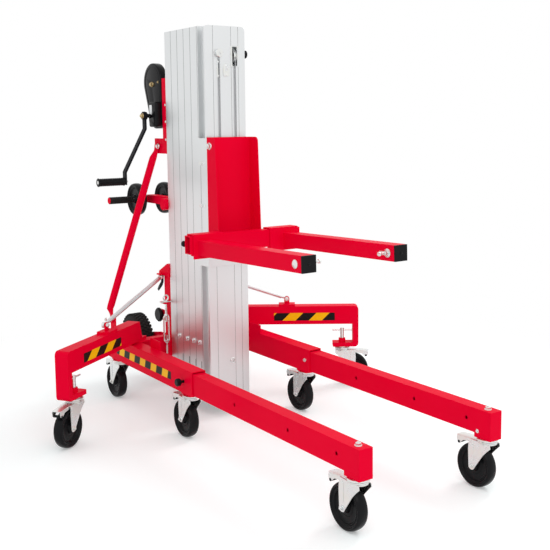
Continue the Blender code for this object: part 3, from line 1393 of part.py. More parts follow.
def crank_arm(side):
    """A flat bar, bent outwards between the hub and the grip's spindle."""
    half = CRANK_BAR / 2
    line = [
        (CRANK_HUB_X, -CRANK_HUB_RADIUS), (CRANK_HUB_X, CRANK_BEND), (CRANK_OUT_X, CRANK_END_BEND),
        (CRANK_OUT_X, CRANK_RADIUS + CRANK_BAR_WIDTH / 2),
    ]
    near = [(across - half, reach + half / 2) for across, reach in line]
    far = [(across + half, reach - half / 2) for across, reach in reversed(line)]
    outline = [(side * across, CRANK_HEIGHT + side * reach) for across, reach in near + far]
    line_y = behind(CRANK_BEHIND)
    bar = extruded("Y", [outline], (line_y - CRANK_BAR_WIDTH / 2, line_y + CRANK_BAR_WIDTH / 2))
    hub_in = side * (CRANK_HUB_X - CRANK_HUB_LENGTH / 2)
    hub_out = side * (CRANK_HUB_X + CRANK_HUB_LENGTH / 2)
    hub = cylinder(CRANK_HUB_RADIUS, (hub_in, line_y, CRANK_HEIGHT), (hub_out, line_y, CRANK_HEIGHT), 14)
    height = CRANK_HEIGHT + side * CRANK_RADIUS
    spindle_end = grip_end() - SPINDLE_INSET
    spindle = cylinder(
        SPINDLE_RADIUS, (side * CRANK_OUT_X, line_y, height), (side * spindle_end, line_y, height), 10)
    return joined(bar, hub, spindle)


def grip_start():
    return CRANK_OUT_X + CRANK_BAR / 2 + 2 * FIT


def grip_end():
    return grip_start() + GRIP_LENGTH


def build_crank():
    line_y = behind(CRANK_BEHIND)
    shaft = cylinder(
        SHAFT_RADIUS, (-CRANK_HUB_X, line_y, CRANK_HEIGHT), (CRANK_HUB_X, line_y, CRANK_HEIGHT), 12)
    crank = joined(shaft, crank_arm(-1), crank_arm(1))
    finish("crank", crank, BLACK_PAINT, (0.0, line_y, CRANK_HEIGHT))


def build_crank_grip(side):
    start = grip_start()
    end = grip_end()
    bore = SPINDLE_RADIUS + GRIP_CLEARANCE
    profile = [
        (bore, end), (GRIP_RADIUS - GRIP_ROUND, end), (GRIP_RADIUS, end - GRIP_ROUND),
        (GRIP_RADIUS, start + GRIP_COLLAR_LENGTH), (GRIP_COLLAR_RADIUS, start), (bore, start),
    ]
    line = Vector((0.0, behind(CRANK_BEHIND), CRANK_HEIGHT + side * CRANK_RADIUS))
    grip = facing(side, turned(profile, 14, line), line)
    finish(f"crank_grip_{side_name(side)}", grip, BLACK_PLASTIC, (side * start, line.y, line.z))


def handle_bar_behind():
    """The handle bar's place, which puts the loading wheels' flats at the machine's rear limit."""
    return REAR_REACH - WHEEL_RADIUS


def across_bar(radius, start, end, line, segments):
    """A round bar along X at the handle's height."""
    return cylinder(radius, (start, line, HANDLE_HEIGHT), (end, line, HANDLE_HEIGHT), segments)


def build_handle():
    tube_line = behind(BACK_FACE + HANDLE_TUBE_RADIUS)
    bar_line = behind(handle_bar_behind())
    cross = across_bar(HANDLE_TUBE_RADIUS, -HANDLE_TUBE_HALF, HANDLE_TUBE_HALF, tube_line, 16)
    half = HANDLE_ARM / 2
    arm = box(
        (-half, half), (tube_line + HANDLE_TUBE_RADIUS / 2, bar_line + HANDLE_BAR_RADIUS / 2),
        (HANDLE_HEIGHT - half, HANDLE_HEIGHT + half))
    reach = HANDLE_GRIP_END - FIT
    handle = joined(cross, arm, across_bar(HANDLE_BAR_RADIUS, -reach, reach, bar_line, 14))
    for side in (-1, 1):
        grip = across_bar(
            HANDLE_GRIP_RADIUS, side * HANDLE_GRIP_START, side * HANDLE_GRIP_END, bar_line, 14)
        handle = joined(handle, grip)
    finish("handle_frame", handle, RED)
    for side in (-1, 1):
        centre = (side * LOADING_WHEEL_X, bar_line, HANDLE_HEIGHT)
        build_wheel(f"loading_wheel_{side_name(side)}", centre, HANDLE_BAR_RADIUS + PIVOT_CLEARANCE)


def build_casters():
    for side in (-1, 1):
        name = side_name(side)
        x = side * BEAM_CENTRE_X
        build_caster(f"front_{name}", (x, behind(-LEG_REACH + FRONT_CASTER)), 90.0)
        build_caster(f"middle_{name}", (x, behind(MID_CASTER)), 90.0)
        build_caster(f"rear_{name}", (x, behind(REAR_CASTER)), 90.0)
        spot = jack_position(side)
        heading = -ARM_ANGLE_DEG if side > 0 else 180.0 + ARM_ANGLE_DEG
        build_caster(f"outrigger_{name}", (spot.x, spot.y), heading)


def main():
    build_rear_sections()
    build_front_section()
    build_top_pulley()
    build_lift_cables()
    build_carriage()
    build_load_frame()
    build_rear_frame()
    build_frame_knob()
    build_turnbuckle()
    build_diagonal_struts()
    build_rear_bracket()
    build_winch_frame()
    build_gear_cover()
    build_drum()
    build_crank()
    build_handle()
    for side in (-1, 1):
        build_crank_grip(side)
        build_fork(side)
        build_side_beam(side)
        build_leg(side)
        build_plunger(side)
        build_transport_wheel(side)
        build_arm(side)
        build_jack(side)
        build_brace(side)
    build_casters()


clear_scene()
PARTS = new_collection("material_lift")
CUTTERS = new_collection("cutters")
main()
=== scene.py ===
# %% [markdown]
# # A hand-cranked material lift in a studio
#
# The real machine is a stack of six aluminium mast sections on a red wheeled
# base, with a winch behind and two forks in front. Its solids come ready made
# in one fixed frame, in metres, so this lesson is about dressing them: camera,
# light, finishes and the small pieces that a plain solid lacks.

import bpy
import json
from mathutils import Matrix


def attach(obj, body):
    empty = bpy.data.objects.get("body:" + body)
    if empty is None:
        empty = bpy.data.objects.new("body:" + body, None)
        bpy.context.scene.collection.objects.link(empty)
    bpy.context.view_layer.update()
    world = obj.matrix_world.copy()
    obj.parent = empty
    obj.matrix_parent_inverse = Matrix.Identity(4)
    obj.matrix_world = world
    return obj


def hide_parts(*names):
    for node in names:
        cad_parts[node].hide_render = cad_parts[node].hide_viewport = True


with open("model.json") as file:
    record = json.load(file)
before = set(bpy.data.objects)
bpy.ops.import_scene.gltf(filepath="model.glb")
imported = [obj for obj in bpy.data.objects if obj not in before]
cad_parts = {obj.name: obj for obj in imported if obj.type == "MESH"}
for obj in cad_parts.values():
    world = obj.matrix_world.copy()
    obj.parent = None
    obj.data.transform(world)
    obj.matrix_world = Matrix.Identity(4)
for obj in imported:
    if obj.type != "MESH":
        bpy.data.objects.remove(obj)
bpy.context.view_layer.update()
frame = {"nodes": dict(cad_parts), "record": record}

# %% [markdown]
# ## Shared places
#
# Most pieces lie on, behind or in front of the mast's front face, so that
# face is the place that the others are measured from. Nearly everything comes
# in pairs, so left and right are a sign and a word.

# %% Modules and the places that many pieces share
import json
import math

import bmesh
import bpy
from mathutils import Matrix, Vector

MAST_FRONT = 0.2315
LEFT_RIGHT = ((-1, "left"), (1, "right"))
print("mast front at y =", MAST_FRONT)

# %% [markdown]
# ## The camera
#
# A camera can be found from the straight edges of a photograph: edges that
# run the same way on the machine meet in one vanishing point, and three such
# points give the lens and the turn. What is left here is that result, as an
# azimuth, a downward tilt, a small roll, and the lens's axis in pixels. The
# frame is taken to be 550 by 550 pixels.

# %% Camera
PICTURE = 550.0
FOCAL_PIXELS = 889.33
AXIS_PIXEL = (286.82, 230.42)
AZIMUTH = math.radians(-35.077)
TILT = math.radians(6.826)
ROLL = math.radians(-0.533)
EYE = Vector((-2.0155, -3.0881, 1.2966))


def camera_axes():
    forward = Vector((
        -math.sin(AZIMUTH) * math.cos(TILT), math.cos(AZIMUTH) * math.cos(TILT), -math.sin(TILT)))
    right = Vector((math.cos(AZIMUTH), math.sin(AZIMUTH), 0.0))
    up = right.cross(forward)
    rolled_right = right * math.cos(ROLL) + up * math.sin(ROLL)
    rolled_up = up * math.cos(ROLL) - right * math.sin(ROLL)
    return rolled_right, rolled_up, forward


def make_camera():
    lens = bpy.data.cameras.new("studio_camera")
    lens.sensor_width = 36.0
    lens.lens = FOCAL_PIXELS * lens.sensor_width / PICTURE
    lens.shift_x = (PICTURE / 2 - AXIS_PIXEL[0]) / PICTURE
    lens.shift_y = (AXIS_PIXEL[1] - PICTURE / 2) / PICTURE
    lens.clip_end = 200.0
    camera = bpy.data.objects.new("studio_camera", lens)
    bpy.context.scene.collection.objects.link(camera)
    right, up, forward = camera_axes()
    turn = Matrix((right, up, -forward)).transposed().to_4x4()
    camera.matrix_world = Matrix.Translation(EYE) @ turn
    bpy.context.scene.camera = camera
    return lens


lens = make_camera()
print("lens", round(lens.lens, 2), "mm, shift", round(lens.shift_x, 4), round(lens.shift_y, 4))

# %% [markdown]
# ## Shader sums in plain Python
#
# A shader tree is easier to read as a sum than as a list of links. The class
# below wraps one socket, and its operators add Math nodes, so that
# `0.3 + 0.1 * grain` is a working expression. Any other node comes from one
# method, which takes the node's type, its settings and its inputs.

# %% Signal and Finish
class Signal:
    """One output socket that takes part in arithmetic."""

    def __init__(self, finish, socket):
        self.finish = finish
        self.socket = socket

    def maths(self, operation, *others):
        values = dict(enumerate((self, *others)))
        return self.finish.node("ShaderNodeMath", {"operation": operation}, values)

    def __add__(self, other):
        return self.maths("ADD", other)

    def __mul__(self, other):
        return self.maths("MULTIPLY", other)

    def __sub__(self, other):
        return self.maths("SUBTRACT", other)

    def __rsub__(self, other):
        return self.finish.node("ShaderNodeMath", {"operation": "SUBTRACT"}, {0: other, 1: self})

    __radd__ = __add__
    __rmul__ = __mul__


class Finish:
    """A material whose tree is written as expressions."""

    def __init__(self, name):
        self.material = bpy.data.materials.new(name)
        self.material.use_nodes = True
        self.tree = self.material.node_tree
        self.tree.nodes.clear()
        self.output = self.tree.nodes.new("ShaderNodeOutputMaterial")

    def node(self, kind, settings=None, values=None, output=0):
        made = self.tree.nodes.new(kind)
        for name, value in (settings or {}).items():
            if name == "stops":
                self.set_stops(made.color_ramp, value)
            else:
                setattr(made, name, value)
        for key, value in (values or {}).items():
            socket = made.inputs[key] if isinstance(key, int) else self.input_named(made, key)
            if isinstance(value, Signal):
                self.tree.links.new(value.socket, socket)
            else:
                socket.default_value = value
        if isinstance(output, str):
            found = [s for s in made.outputs if output in (s.name, s.identifier)]
            return Signal(self, found[0])
        return Signal(self, made.outputs[output])

    @staticmethod
    def input_named(made, key):
        exact = [s for s in made.inputs if s.identifier == key]
        return (exact or [s for s in made.inputs if s.name == key])[0]

    @staticmethod
    def set_stops(ramp, stops):
        while len(ramp.elements) < len(stops):
            ramp.elements.new(0.5)
        for element, (position, colour) in zip(ramp.elements, stops):
            element.position = position
            element.color = (*colour, 1.0)

    def place(self):
        """Where a point is on the machine, in metres."""
        return self.node("ShaderNodeTexCoord", output="Object")

    def stretched(self, scale):
        return self.node("ShaderNodeMapping", None, {"Vector": self.place(), "Scale": scale})

    def noise(self, scale, detail=2.0, roughness=0.5, where=None):
        return self.node("ShaderNodeTexNoise", None, {
            "Vector": where or self.place(), "Scale": scale, "Detail": detail, "Roughness": roughness})

    def mix(self, factor, first, second):
        values = {"Factor_Float": factor}
        for key, value in (("A_Color", first), ("B_Color", second)):
            values[key] = value if isinstance(value, Signal) else (*value, 1.0)
        return self.node("ShaderNodeMix", {"data_type": "RGBA"}, values, output="Result_Color")

    def bump(self, height, strength, distance):
        return self.node("ShaderNodeBump", None, {
            "Height": height, "Strength": strength, "Distance": distance})

    def surface(self, **values):
        named = {key.replace("_", " "): value for key, value in values.items()}
        shader = self.node("ShaderNodeBsdfPrincipled", None, named, output="BSDF")
        self.tree.links.new(shader.socket, self.output.inputs["Surface"])
        return self.material


print("a finish is written as an expression, such as 0.3 + 0.1 * grain")

# %% [markdown]
# ## The floor
#
# The machine stands on a white sweep. The floor is a pale disc whose shader
# turns into plain white light away from the machine, so there is no horizon,
# while the part below the machine stays a matt surface that takes a shadow.
# Its tint for the camera has more green and blue, which makes up for most of
# the red light that the base throws into its own shadow.

# %% Floor
WHITE = (1.0, 1.0, 1.0, 1.0)
FLOOR_TINT = (0.91, 0.93, 0.935)
SEEN_FLOOR_TINT = (1.065, 1.130, 1.130)
SHADOW_FROM = 1.0
SHADOW_GONE = 2.3
SHADOW_HIDDEN = 0.25
FLOOR_RADIUS = 60.0


def floor_finish():
    finish = Finish("pale_floor")
    distance = finish.node(
        "ShaderNodeVectorMath", {"operation": "LENGTH"}, {0: finish.place()}, output="Value")
    far = finish.node("ShaderNodeMapRange", {"interpolation_type": "SMOOTHSTEP"}, {
        "Value": distance, "From Min": SHADOW_FROM, "From Max": SHADOW_GONE,
        "To Min": SHADOW_HIDDEN, "To Max": 1.0})
    seen = [
        finish.node("ShaderNodeLightPath", output=f"Is {kind} Ray")
        for kind in ("Camera", "Glossy", "Transmission")]
    path = seen[0].maths("MAXIMUM", seen[1]).maths("MAXIMUM", seen[2])
    tint = finish.mix(seen[0], FLOOR_TINT, SEEN_FLOOR_TINT)
    matt = finish.node("ShaderNodeBsdfDiffuse", None, {"Color": tint})
    light = finish.node("ShaderNodeEmission", None, {"Color": WHITE, "Strength": 1.0})
    both = finish.node("ShaderNodeMixShader", None, {0: path * far, 1: matt, 2: light})
    finish.tree.links.new(both.socket, finish.output.inputs["Surface"])
    return finish.material


def make_floor():
    shape = bmesh.new()
    bmesh.ops.create_circle(shape, cap_ends=True, segments=64, radius=FLOOR_RADIUS)
    mesh = bpy.data.meshes.new("studio_floor")
    shape.to_mesh(mesh)
    shape.free()
    floor = bpy.data.objects.new("studio_floor", mesh)
    bpy.context.scene.collection.objects.link(floor)
    mesh.materials.append(floor_finish())
    mesh.shade_smooth()
    return floor


floor = make_floor()
print("floor radius", round(floor.dimensions.x / 2, 1), "m")

# %% [markdown]
# ## World and lamps
#
# A studio is a white room with a few large lamps. The world is full white to
# the camera, to reflections and behind glass, so the background needs no
# extra light, and a softer white to every other ray. The key lamp stands in
# front on the left, and the side lamp on the right.

# %% World and lamps
SOFT_WORLD = 0.86
KEY_LAMP = {"place": (-1.2, -3.2, 3.4), "aim": (0.0, 0.2, 0.7), "size": 2.6, "power": 34.0}
SIDE_LAMP = {"place": (3.2, 0.2, 3.4), "aim": (0.0, 0.2, 0.3), "size": 1.3, "power": 46.0}


def make_world():
    world = bpy.data.worlds.new("white_studio")
    bpy.context.scene.world = world
    world.use_nodes = True
    tree = world.node_tree
    tree.nodes.clear()
    out = tree.nodes.new("ShaderNodeOutputWorld")
    mix = tree.nodes.new("ShaderNodeMixShader")
    path = tree.nodes.new("ShaderNodeLightPath")
    most = tree.nodes.new("ShaderNodeMath")
    most.operation = "MAXIMUM"
    all_three = tree.nodes.new("ShaderNodeMath")
    all_three.operation = "MAXIMUM"
    tree.links.new(path.outputs["Is Camera Ray"], most.inputs[0])
    tree.links.new(path.outputs["Is Glossy Ray"], most.inputs[1])
    tree.links.new(most.outputs[0], all_three.inputs[0])
    tree.links.new(path.outputs["Is Transmission Ray"], all_three.inputs[1])
    tree.links.new(all_three.outputs[0], mix.inputs[0])
    for index, strength in ((1, SOFT_WORLD), (2, 1.0)):
        back = tree.nodes.new("ShaderNodeBackground")
        back.inputs["Color"].default_value = WHITE
        back.inputs["Strength"].default_value = strength
        tree.links.new(back.outputs[0], mix.inputs[index])
    tree.links.new(mix.outputs[0], out.inputs["Surface"])


def make_lamp(name, place, aim, size, power):
    lamp = bpy.data.lights.new(name, "AREA")
    lamp.shape = "SQUARE"
    lamp.size = size
    lamp.energy = power
    item = bpy.data.objects.new(name, lamp)
    bpy.context.scene.collection.objects.link(item)
    item.location = place
    item.rotation_mode = "QUATERNION"
    item.rotation_quaternion = (Vector(place) - Vector(aim)).to_track_quat("Z", "Y")
    return item


make_world()
make_lamp("key_lamp", **KEY_LAMP)
make_lamp("side_lamp", **SIDE_LAMP)
bpy.context.scene.view_settings.view_transform = "Standard"
print("world strength", SOFT_WORLD, "and two lamps")

# %% [markdown]
# ## Red powder coat
#
# The welded base, the forks and the handle are powder coated: a thick even
# film with a faint orange peel and a tiny change of colour where it lies
# thicker. A fine noise drives the bump, a broad one the colour and the gloss.
# The photograph's red hardly reflects the white studio, so the specular level
# and the clear coat are both kept very low.

# %% Red powder coat
def red_powder_coat():
    finish = Finish("red_powder_coat")
    broad = finish.noise(4.0, 3.0)
    peel = finish.noise(420.0, 1.0)
    colour = finish.mix(broad, (0.86, 0.0002, 0.030), (0.76, 0.0002, 0.025))
    return finish.surface(
        Base_Color=colour, Roughness=0.30 + 0.10 * broad, Normal=finish.bump(peel, 0.10, 0.0004),
        Coat_Weight=0.02, Coat_Roughness=0.10, Specular_IOR_Level=0.014)


RED = red_powder_coat()
print("made", RED.name)

# %% [markdown]
# ## Satin aluminium
#
# The mast is extruded and anodised. The die leaves fine lines along the
# profile, so the noise is stretched hard along Z. It roughens the metal a
# little and lifts it by microns, which turns the reflection into upright
# streaks, as on the real one.

# %% Satin aluminium
def satin_aluminium():
    finish = Finish("satin_aluminium")
    lines = finish.noise(1.0, 3.0, 0.6, finish.stretched((900.0, 900.0, 1.5)))
    broad = finish.noise(3.0, 2.0)
    colour = finish.mix(broad, (0.79, 0.805, 0.81), (0.75, 0.765, 0.77))
    return finish.surface(
        Base_Color=colour, Metallic=1.0, Roughness=0.36 + 0.12 * lines,
        Normal=finish.bump(lines, 0.10, 0.0004))


ALUMINIUM = satin_aluminium()
print("made", ALUMINIUM.name)

# %% [markdown]
# ## Bright zinc
#
# Zinc plating shows soft cloudy patches with a trace of blue and of straw
# yellow. A Voronoi cell pattern under a broad noise gives the crystal look
# from close up and stays quiet from afar.

# %% Bright zinc
def bright_zinc():
    finish = Finish("bright_zinc")
    cloud = finish.noise(26.0, 3.0)
    cells = finish.node(
        "ShaderNodeTexVoronoi", None, {"Vector": finish.place(), "Scale": 260.0}, output="Distance")
    colour = finish.mix(cloud, (0.74, 0.78, 0.83), (0.84, 0.82, 0.74))
    return finish.surface(
        Base_Color=colour, Metallic=1.0, Roughness=0.20 + 0.16 * cloud,
        Normal=finish.bump(cells, 0.05, 0.0003))


ZINC = bright_zinc()
print("made", ZINC.name)

# %% [markdown]
# ## Cable steel
#
# A wire rope is strands laid in a spiral, so it shows slanted light and dark bars, the dark ones being the
# shade in the creases between strands. Diagonal bands of a Wave texture give them in the bump and, as
# painted shade, in the colour, with no need to model each strand.

# %% Cable steel
def cable_steel():
    finish = Finish("cable_steel")
    lay = finish.node("ShaderNodeTexWave", {"bands_direction": "DIAGONAL"}, {
        "Vector": finish.place(), "Scale": 120.0, "Distortion": 0.5})
    # The colour's dark bands are painted shade between the strands, not a colour of the steel.
    colour = finish.mix(lay, (0.16, 0.16, 0.17), (0.50, 0.51, 0.52))
    return finish.surface(
        Base_Color=colour, Metallic=1.0, Roughness=0.35 + 0.1 * lay, Normal=finish.bump(lay, 0.5, 0.0006))


CABLE = cable_steel()
print("made", CABLE.name)

# %% [markdown]
# ## The blacks
#
# Three blacks tell three materials apart: the casters' nylon is smooth, the
# winch's paint is satin with dust in it, and the tyres' rubber is matt with a
# fine grain. They differ mostly in roughness and in the size of the bump.

# %% Black nylon, paint and rubber
def black_nylon():
    finish = Finish("black_nylon")
    flow = finish.noise(30.0, 2.0)
    return finish.surface(
        Base_Color=finish.mix(flow, (0.006, 0.006, 0.007), (0.011, 0.011, 0.012)),
        Roughness=0.14 + 0.14 * flow, Specular_IOR_Level=0.10,
        Normal=finish.bump(finish.noise(260.0, 2.0), 0.04, 0.0004))


def black_paint():
    finish = Finish("black_paint")
    dust = finish.noise(60.0, 4.0, 0.6)
    return finish.surface(
        Base_Color=finish.mix(dust, (0.004, 0.004, 0.006), (0.009, 0.009, 0.012)),
        Roughness=0.30 + 0.18 * dust, Specular_IOR_Level=0.07,
        Normal=finish.bump(finish.noise(380.0, 2.0), 0.10, 0.0004))


def black_rubber():
    finish = Finish("black_rubber")
    grain = finish.noise(520.0, 3.0, 0.6)
    scuff = finish.noise(18.0, 3.0)
    return finish.surface(
        Base_Color=finish.mix(scuff, (0.008, 0.008, 0.008), (0.020, 0.020, 0.019)),
        Roughness=0.62 + 0.2 * grain, Specular_IOR_Level=0.16, Normal=finish.bump(grain, 0.25, 0.0006))


NYLON = black_nylon()
BLACK = black_paint()
RUBBER = black_rubber()
print("made", NYLON.name, BLACK.name, RUBBER.name)

# %% [markdown]
# ## Warning tape
#
# Each side beam and each outrigger arm carries a strip of yellow and black
# tape. Its slanted bars follow a simple rule, so they are drawn by sums: the
# distance along the strip plus some of the height, divided by the pitch, is a
# whole number in the middle of each yellow bar.

# %% Warning tape
BAR_BLUR = 0.006


def warning_tape(name, along, slant, pitch, start, share):
    """Yellow bars about start, start + pitch and so on, of a share of the pitch."""
    finish = Finish(name)
    run = finish.node("ShaderNodeVectorMath", {"operation": "DOT_PRODUCT"}, {
        0: finish.place(), 1: (along[0], along[1], slant)}, output="Value")
    turns = (run - start) * (1.0 / pitch)
    away = (turns - turns.maths("ROUND")).maths("ABSOLUTE")
    black = finish.node("ShaderNodeMapRange", None, {
        "Value": away, "From Min": share / 2 - BAR_BLUR, "From Max": share / 2 + BAR_BLUR})
    film = finish.noise(90.0, 2.0)
    yellow = finish.mix(film, (1.0, 0.56, 0.004), (0.93, 0.50, 0.004))
    return finish.surface(
        Base_Color=finish.mix(black, yellow, (0.010, 0.010, 0.009)), Roughness=0.34 + 0.10 * film,
        Specular_IOR_Level=0.10, Normal=finish.bump(film, 0.05, 0.0003))


print("the tape's bars come from a dot product and its distance to a whole number")

# %% [markdown]
# ## Helpers for pieces
#
# Each piece is one mesh with its place written into it, and it rides on one
# body of the machine. The finish names the slot that the piece is repainted
# by. The record tells which body holds a solid and where each joint's axis is.

# %% Piece helpers
BODIES = frame["record"]["behaviour"]["bodies"]
AXES = {
    joint["name"]: (Vector(joint.get("pos_m", (0, 0, 0))), Vector(joint["axis"]).normalized())
    for joint in frame["record"]["behaviour"]["joints"]}
SLOTS = {
    RED.name: "red_paint", ALUMINIUM.name: "satin_aluminium", ZINC.name: "bright_zinc",
    CABLE.name: "cable_steel", NYLON.name: "black_nylon", BLACK.name: "black_paint",
    RUBBER.name: "black_rubber"}


def body_of(node):
    return next(body for body, nodes in BODIES.items() if node in nodes)


def add_piece(name, mesh, finish, body, replaces=()):
    item = bpy.data.objects.new(name, mesh)
    bpy.context.scene.collection.objects.link(item)
    mesh.name = name
    mesh.materials.clear()
    mesh.materials.append(finish)
    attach(item, body)
    if replaces:
        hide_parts(*replaces)
    return item


def evaluated_mesh(item):
    """What an object's modifiers make, as a mesh of its own; the object goes."""
    graph = bpy.context.evaluated_depsgraph_get()
    mesh = bpy.data.meshes.new_from_object(item.evaluated_get(graph))
    bpy.data.objects.remove(item)
    return mesh


print(len(AXES), "joint axes known")

# %% [markdown]
# ## Soft edges
#
# A folded plate or a welded tube has no perfectly sharp edge, and the thin
# line of light along it is what makes it look solid. Here a copy of a solid
# is merged, its flat triangles are joined, its edges are bevelled, and its
# normals are weighted by area so that the flats stay flat. The copy then
# stands for the solid.

# %% Softened solids
WELD_REACH = 0.00002
FLAT_WITHIN = math.radians(1.0)
CORNER_FROM = math.radians(38.0)


def softened(node, width, finish, segments=2):
    mesh = frame["nodes"][node].data.copy()
    scratch = bpy.data.objects.new("scratch", mesh)
    bpy.context.scene.collection.objects.link(scratch)
    mesh.shade_smooth()
    weld = scratch.modifiers.new("weld", "WELD")
    weld.merge_threshold = WELD_REACH
    join = scratch.modifiers.new("join", "DECIMATE")
    join.decimate_type = "DISSOLVE"
    join.angle_limit = FLAT_WITHIN
    bevel = scratch.modifiers.new("bevel", "BEVEL")
    bevel.width = width
    bevel.segments = segments
    bevel.limit_method = "ANGLE"
    bevel.angle_limit = CORNER_FROM
    even = scratch.modifiers.new("even", "WEIGHTED_NORMAL")
    even.keep_sharp = True
    bpy.context.view_layer.update()
    made = evaluated_mesh(scratch)
    add_piece(f"{node}_soft", made, finish, body_of(node), [node])
    return len(made.polygons)


SOFT_EDGES = {
    RED: {
        "load_frame": 0.0016, "side_beam": 0.0045, "leg": 0.0040, "outrigger_arm": 0.0040,
        "rear_frame": 0.0012, "rear_bracket": 0.0012, "handle_frame": 0.0010,
        "fork": 0.0035},
    ALUMINIUM: {"carriage": 0.0012, "mast_section": 0.0013},
    BLACK: {"winch_frame": 0.0008, "crank": 0.0014},
    NYLON: {"fork_cap": 0.0012},
    ZINC: {"jack": 0.0006},
}


def soften_all():
    faces = 0
    for finish, widths in SOFT_EDGES.items():
        for stem, width in widths.items():
            found = [n for n in frame["nodes"] if n == stem or n[:len(stem) + 1] == stem + "_"]
            for node in found:
                if stem == "fork" and "cap" in node or stem == "crank" and "grip" in node:
                    continue
                faces += softened(node, width, finish)
    return faces


print(soften_all(), "faces on the softened solids")

# %% [markdown]
# ## The solids that stay
#
# The rest of the solids are shaped well enough, and take a finish by slot.

# %% Finishes by slot
BY_SLOT = {slot: bpy.data.materials[name] for name, slot in SLOTS.items()}


def dress_solids():
    dressed = 0
    for item in frame["nodes"].values():
        for slot in item.material_slots:
            key = next(key for key in BY_SLOT if key in slot.material.name)
            slot.material = BY_SLOT[key]
            dressed += 1
    return dressed


print(dress_solids(), "slots dressed")

# %% [markdown]
# ## Turned pieces
#
# Wheels, grips, knobs and drums are turned shapes. Each is drawn as half a
# profile, a list of (along the axis, out from the axis) points, and spun
# round X. It is then laid on the axis that its joint gives, so a wheel on a
# swivelled caster follows its own axle.

# %% Turned pieces
def spun(profile, steps=64):
    """A closed mesh from a profile of (along, out) points, about the X axis."""
    shape = bmesh.new()
    ring = [shape.verts.new((along, out, 0.0)) for along, out in profile]
    edges = [shape.edges.new(pair) for pair in zip(ring, ring[1:])]
    bmesh.ops.spin(
        shape, geom=ring + edges, axis=(1, 0, 0), cent=(0, 0, 0), steps=steps, angle=math.tau)
    bmesh.ops.remove_doubles(shape, verts=shape.verts, dist=0.00001)
    bmesh.ops.recalc_face_normals(shape, faces=shape.faces)
    mesh = bpy.data.meshes.new("turned")
    shape.to_mesh(mesh)
    shape.free()
    shade(mesh)
    return mesh


def shade(mesh, sharp_deg=32.0):
    """Smooth faces, with a crease wherever two of them meet at a corner."""
    mesh.shade_smooth()
    mesh.set_sharp_from_angle(angle=math.radians(sharp_deg))


def laid(mesh, centre, axis):
    turn = Vector((1.0, 0.0, 0.0)).rotation_difference(Vector(axis)).to_matrix().to_4x4()
    mesh.transform(Matrix.Translation(Vector(centre)) @ turn)
    return mesh


def rounded(points, radius, steps=4):
    """The profile with each inner corner cut by a small curve."""
    made = [points[0]]
    for before, corner, after in zip(points, points[1:], points[2:]):
        here = Vector(corner)
        back, ahead = Vector(before) - here, Vector(after) - here
        reach = min(radius, back.length * 0.45, ahead.length * 0.45)
        start, end = here + back.normalized() * reach, here + ahead.normalized() * reach
        for step in range(steps + 1):
            t = step / steps
            made.append(tuple(start * (1 - t) ** 2 + here * 2 * t * (1 - t) + end * t * t))
    return made + [points[-1]]


print("a square corner becomes", len(rounded([(0, 0), (1, 0), (1, 1)], 0.1)) - 2, "points")

# %% [markdown]
# ## Caster wheels
#
# The casters are solid polished nylon wheels with a rounded tread, a dished
# side and a raised ring inside the rim. On the real wheel these come out of
# one mould, so they are one profile here, mirrored to the other side.

# %% Caster wheels
WHEEL_RIGHT = [
    (0.0225, 0.0062), (0.0225, 0.0150), (0.0200, 0.0190), (0.0095, 0.0215), (0.0095, 0.0300),
    (0.0070, 0.0330), (0.0070, 0.0500), (0.0100, 0.0540), (0.0150, 0.0560), (0.0160, 0.0585),
    (0.0130, 0.0610), (0.0145, 0.0655), (0.0195, 0.0680), (0.0210, 0.0710), (0.0180, 0.0765),
    (0.0100, 0.0793), (0.0, 0.0800)]
WHEEL_ROUNDING = 0.0014
WHEEL_STEPS = 72
CASTER_PLACES = ("front", "middle", "rear", "outrigger")


def mirrored_profile(right):
    left = [(-along, out) for along, out in reversed(right[:-1])]
    closed = right + left
    return closed + [right[0]]


def add_wheel(node):
    """A moulded wheel on its own axle, in place of the solid."""
    profile = rounded(mirrored_profile(WHEEL_RIGHT), WHEEL_ROUNDING, 2)
    centre, axis = AXES[f"{node}_roll"]
    wheel = laid(spun(profile, WHEEL_STEPS), centre, axis)
    add_piece(f"{node}_moulded", wheel, NYLON, body_of(node), [node])


def make_caster_wheels():
    for place in CASTER_PLACES:
        for _, side in LEFT_RIGHT:
            add_wheel(f"caster_wheel_{place}_{side}")


make_caster_wheels()
print("eight caster wheels")

# %% [markdown]
# ## A class for trees of geometry
#
# What repeats on this machine, such as a tyre's blocks, is one small shape
# and a rule for its places. Geometry Nodes hold such a rule, with its sizes
# as named inputs. The tree ends in plain geometry with a material, because
# instances are lost in an export.

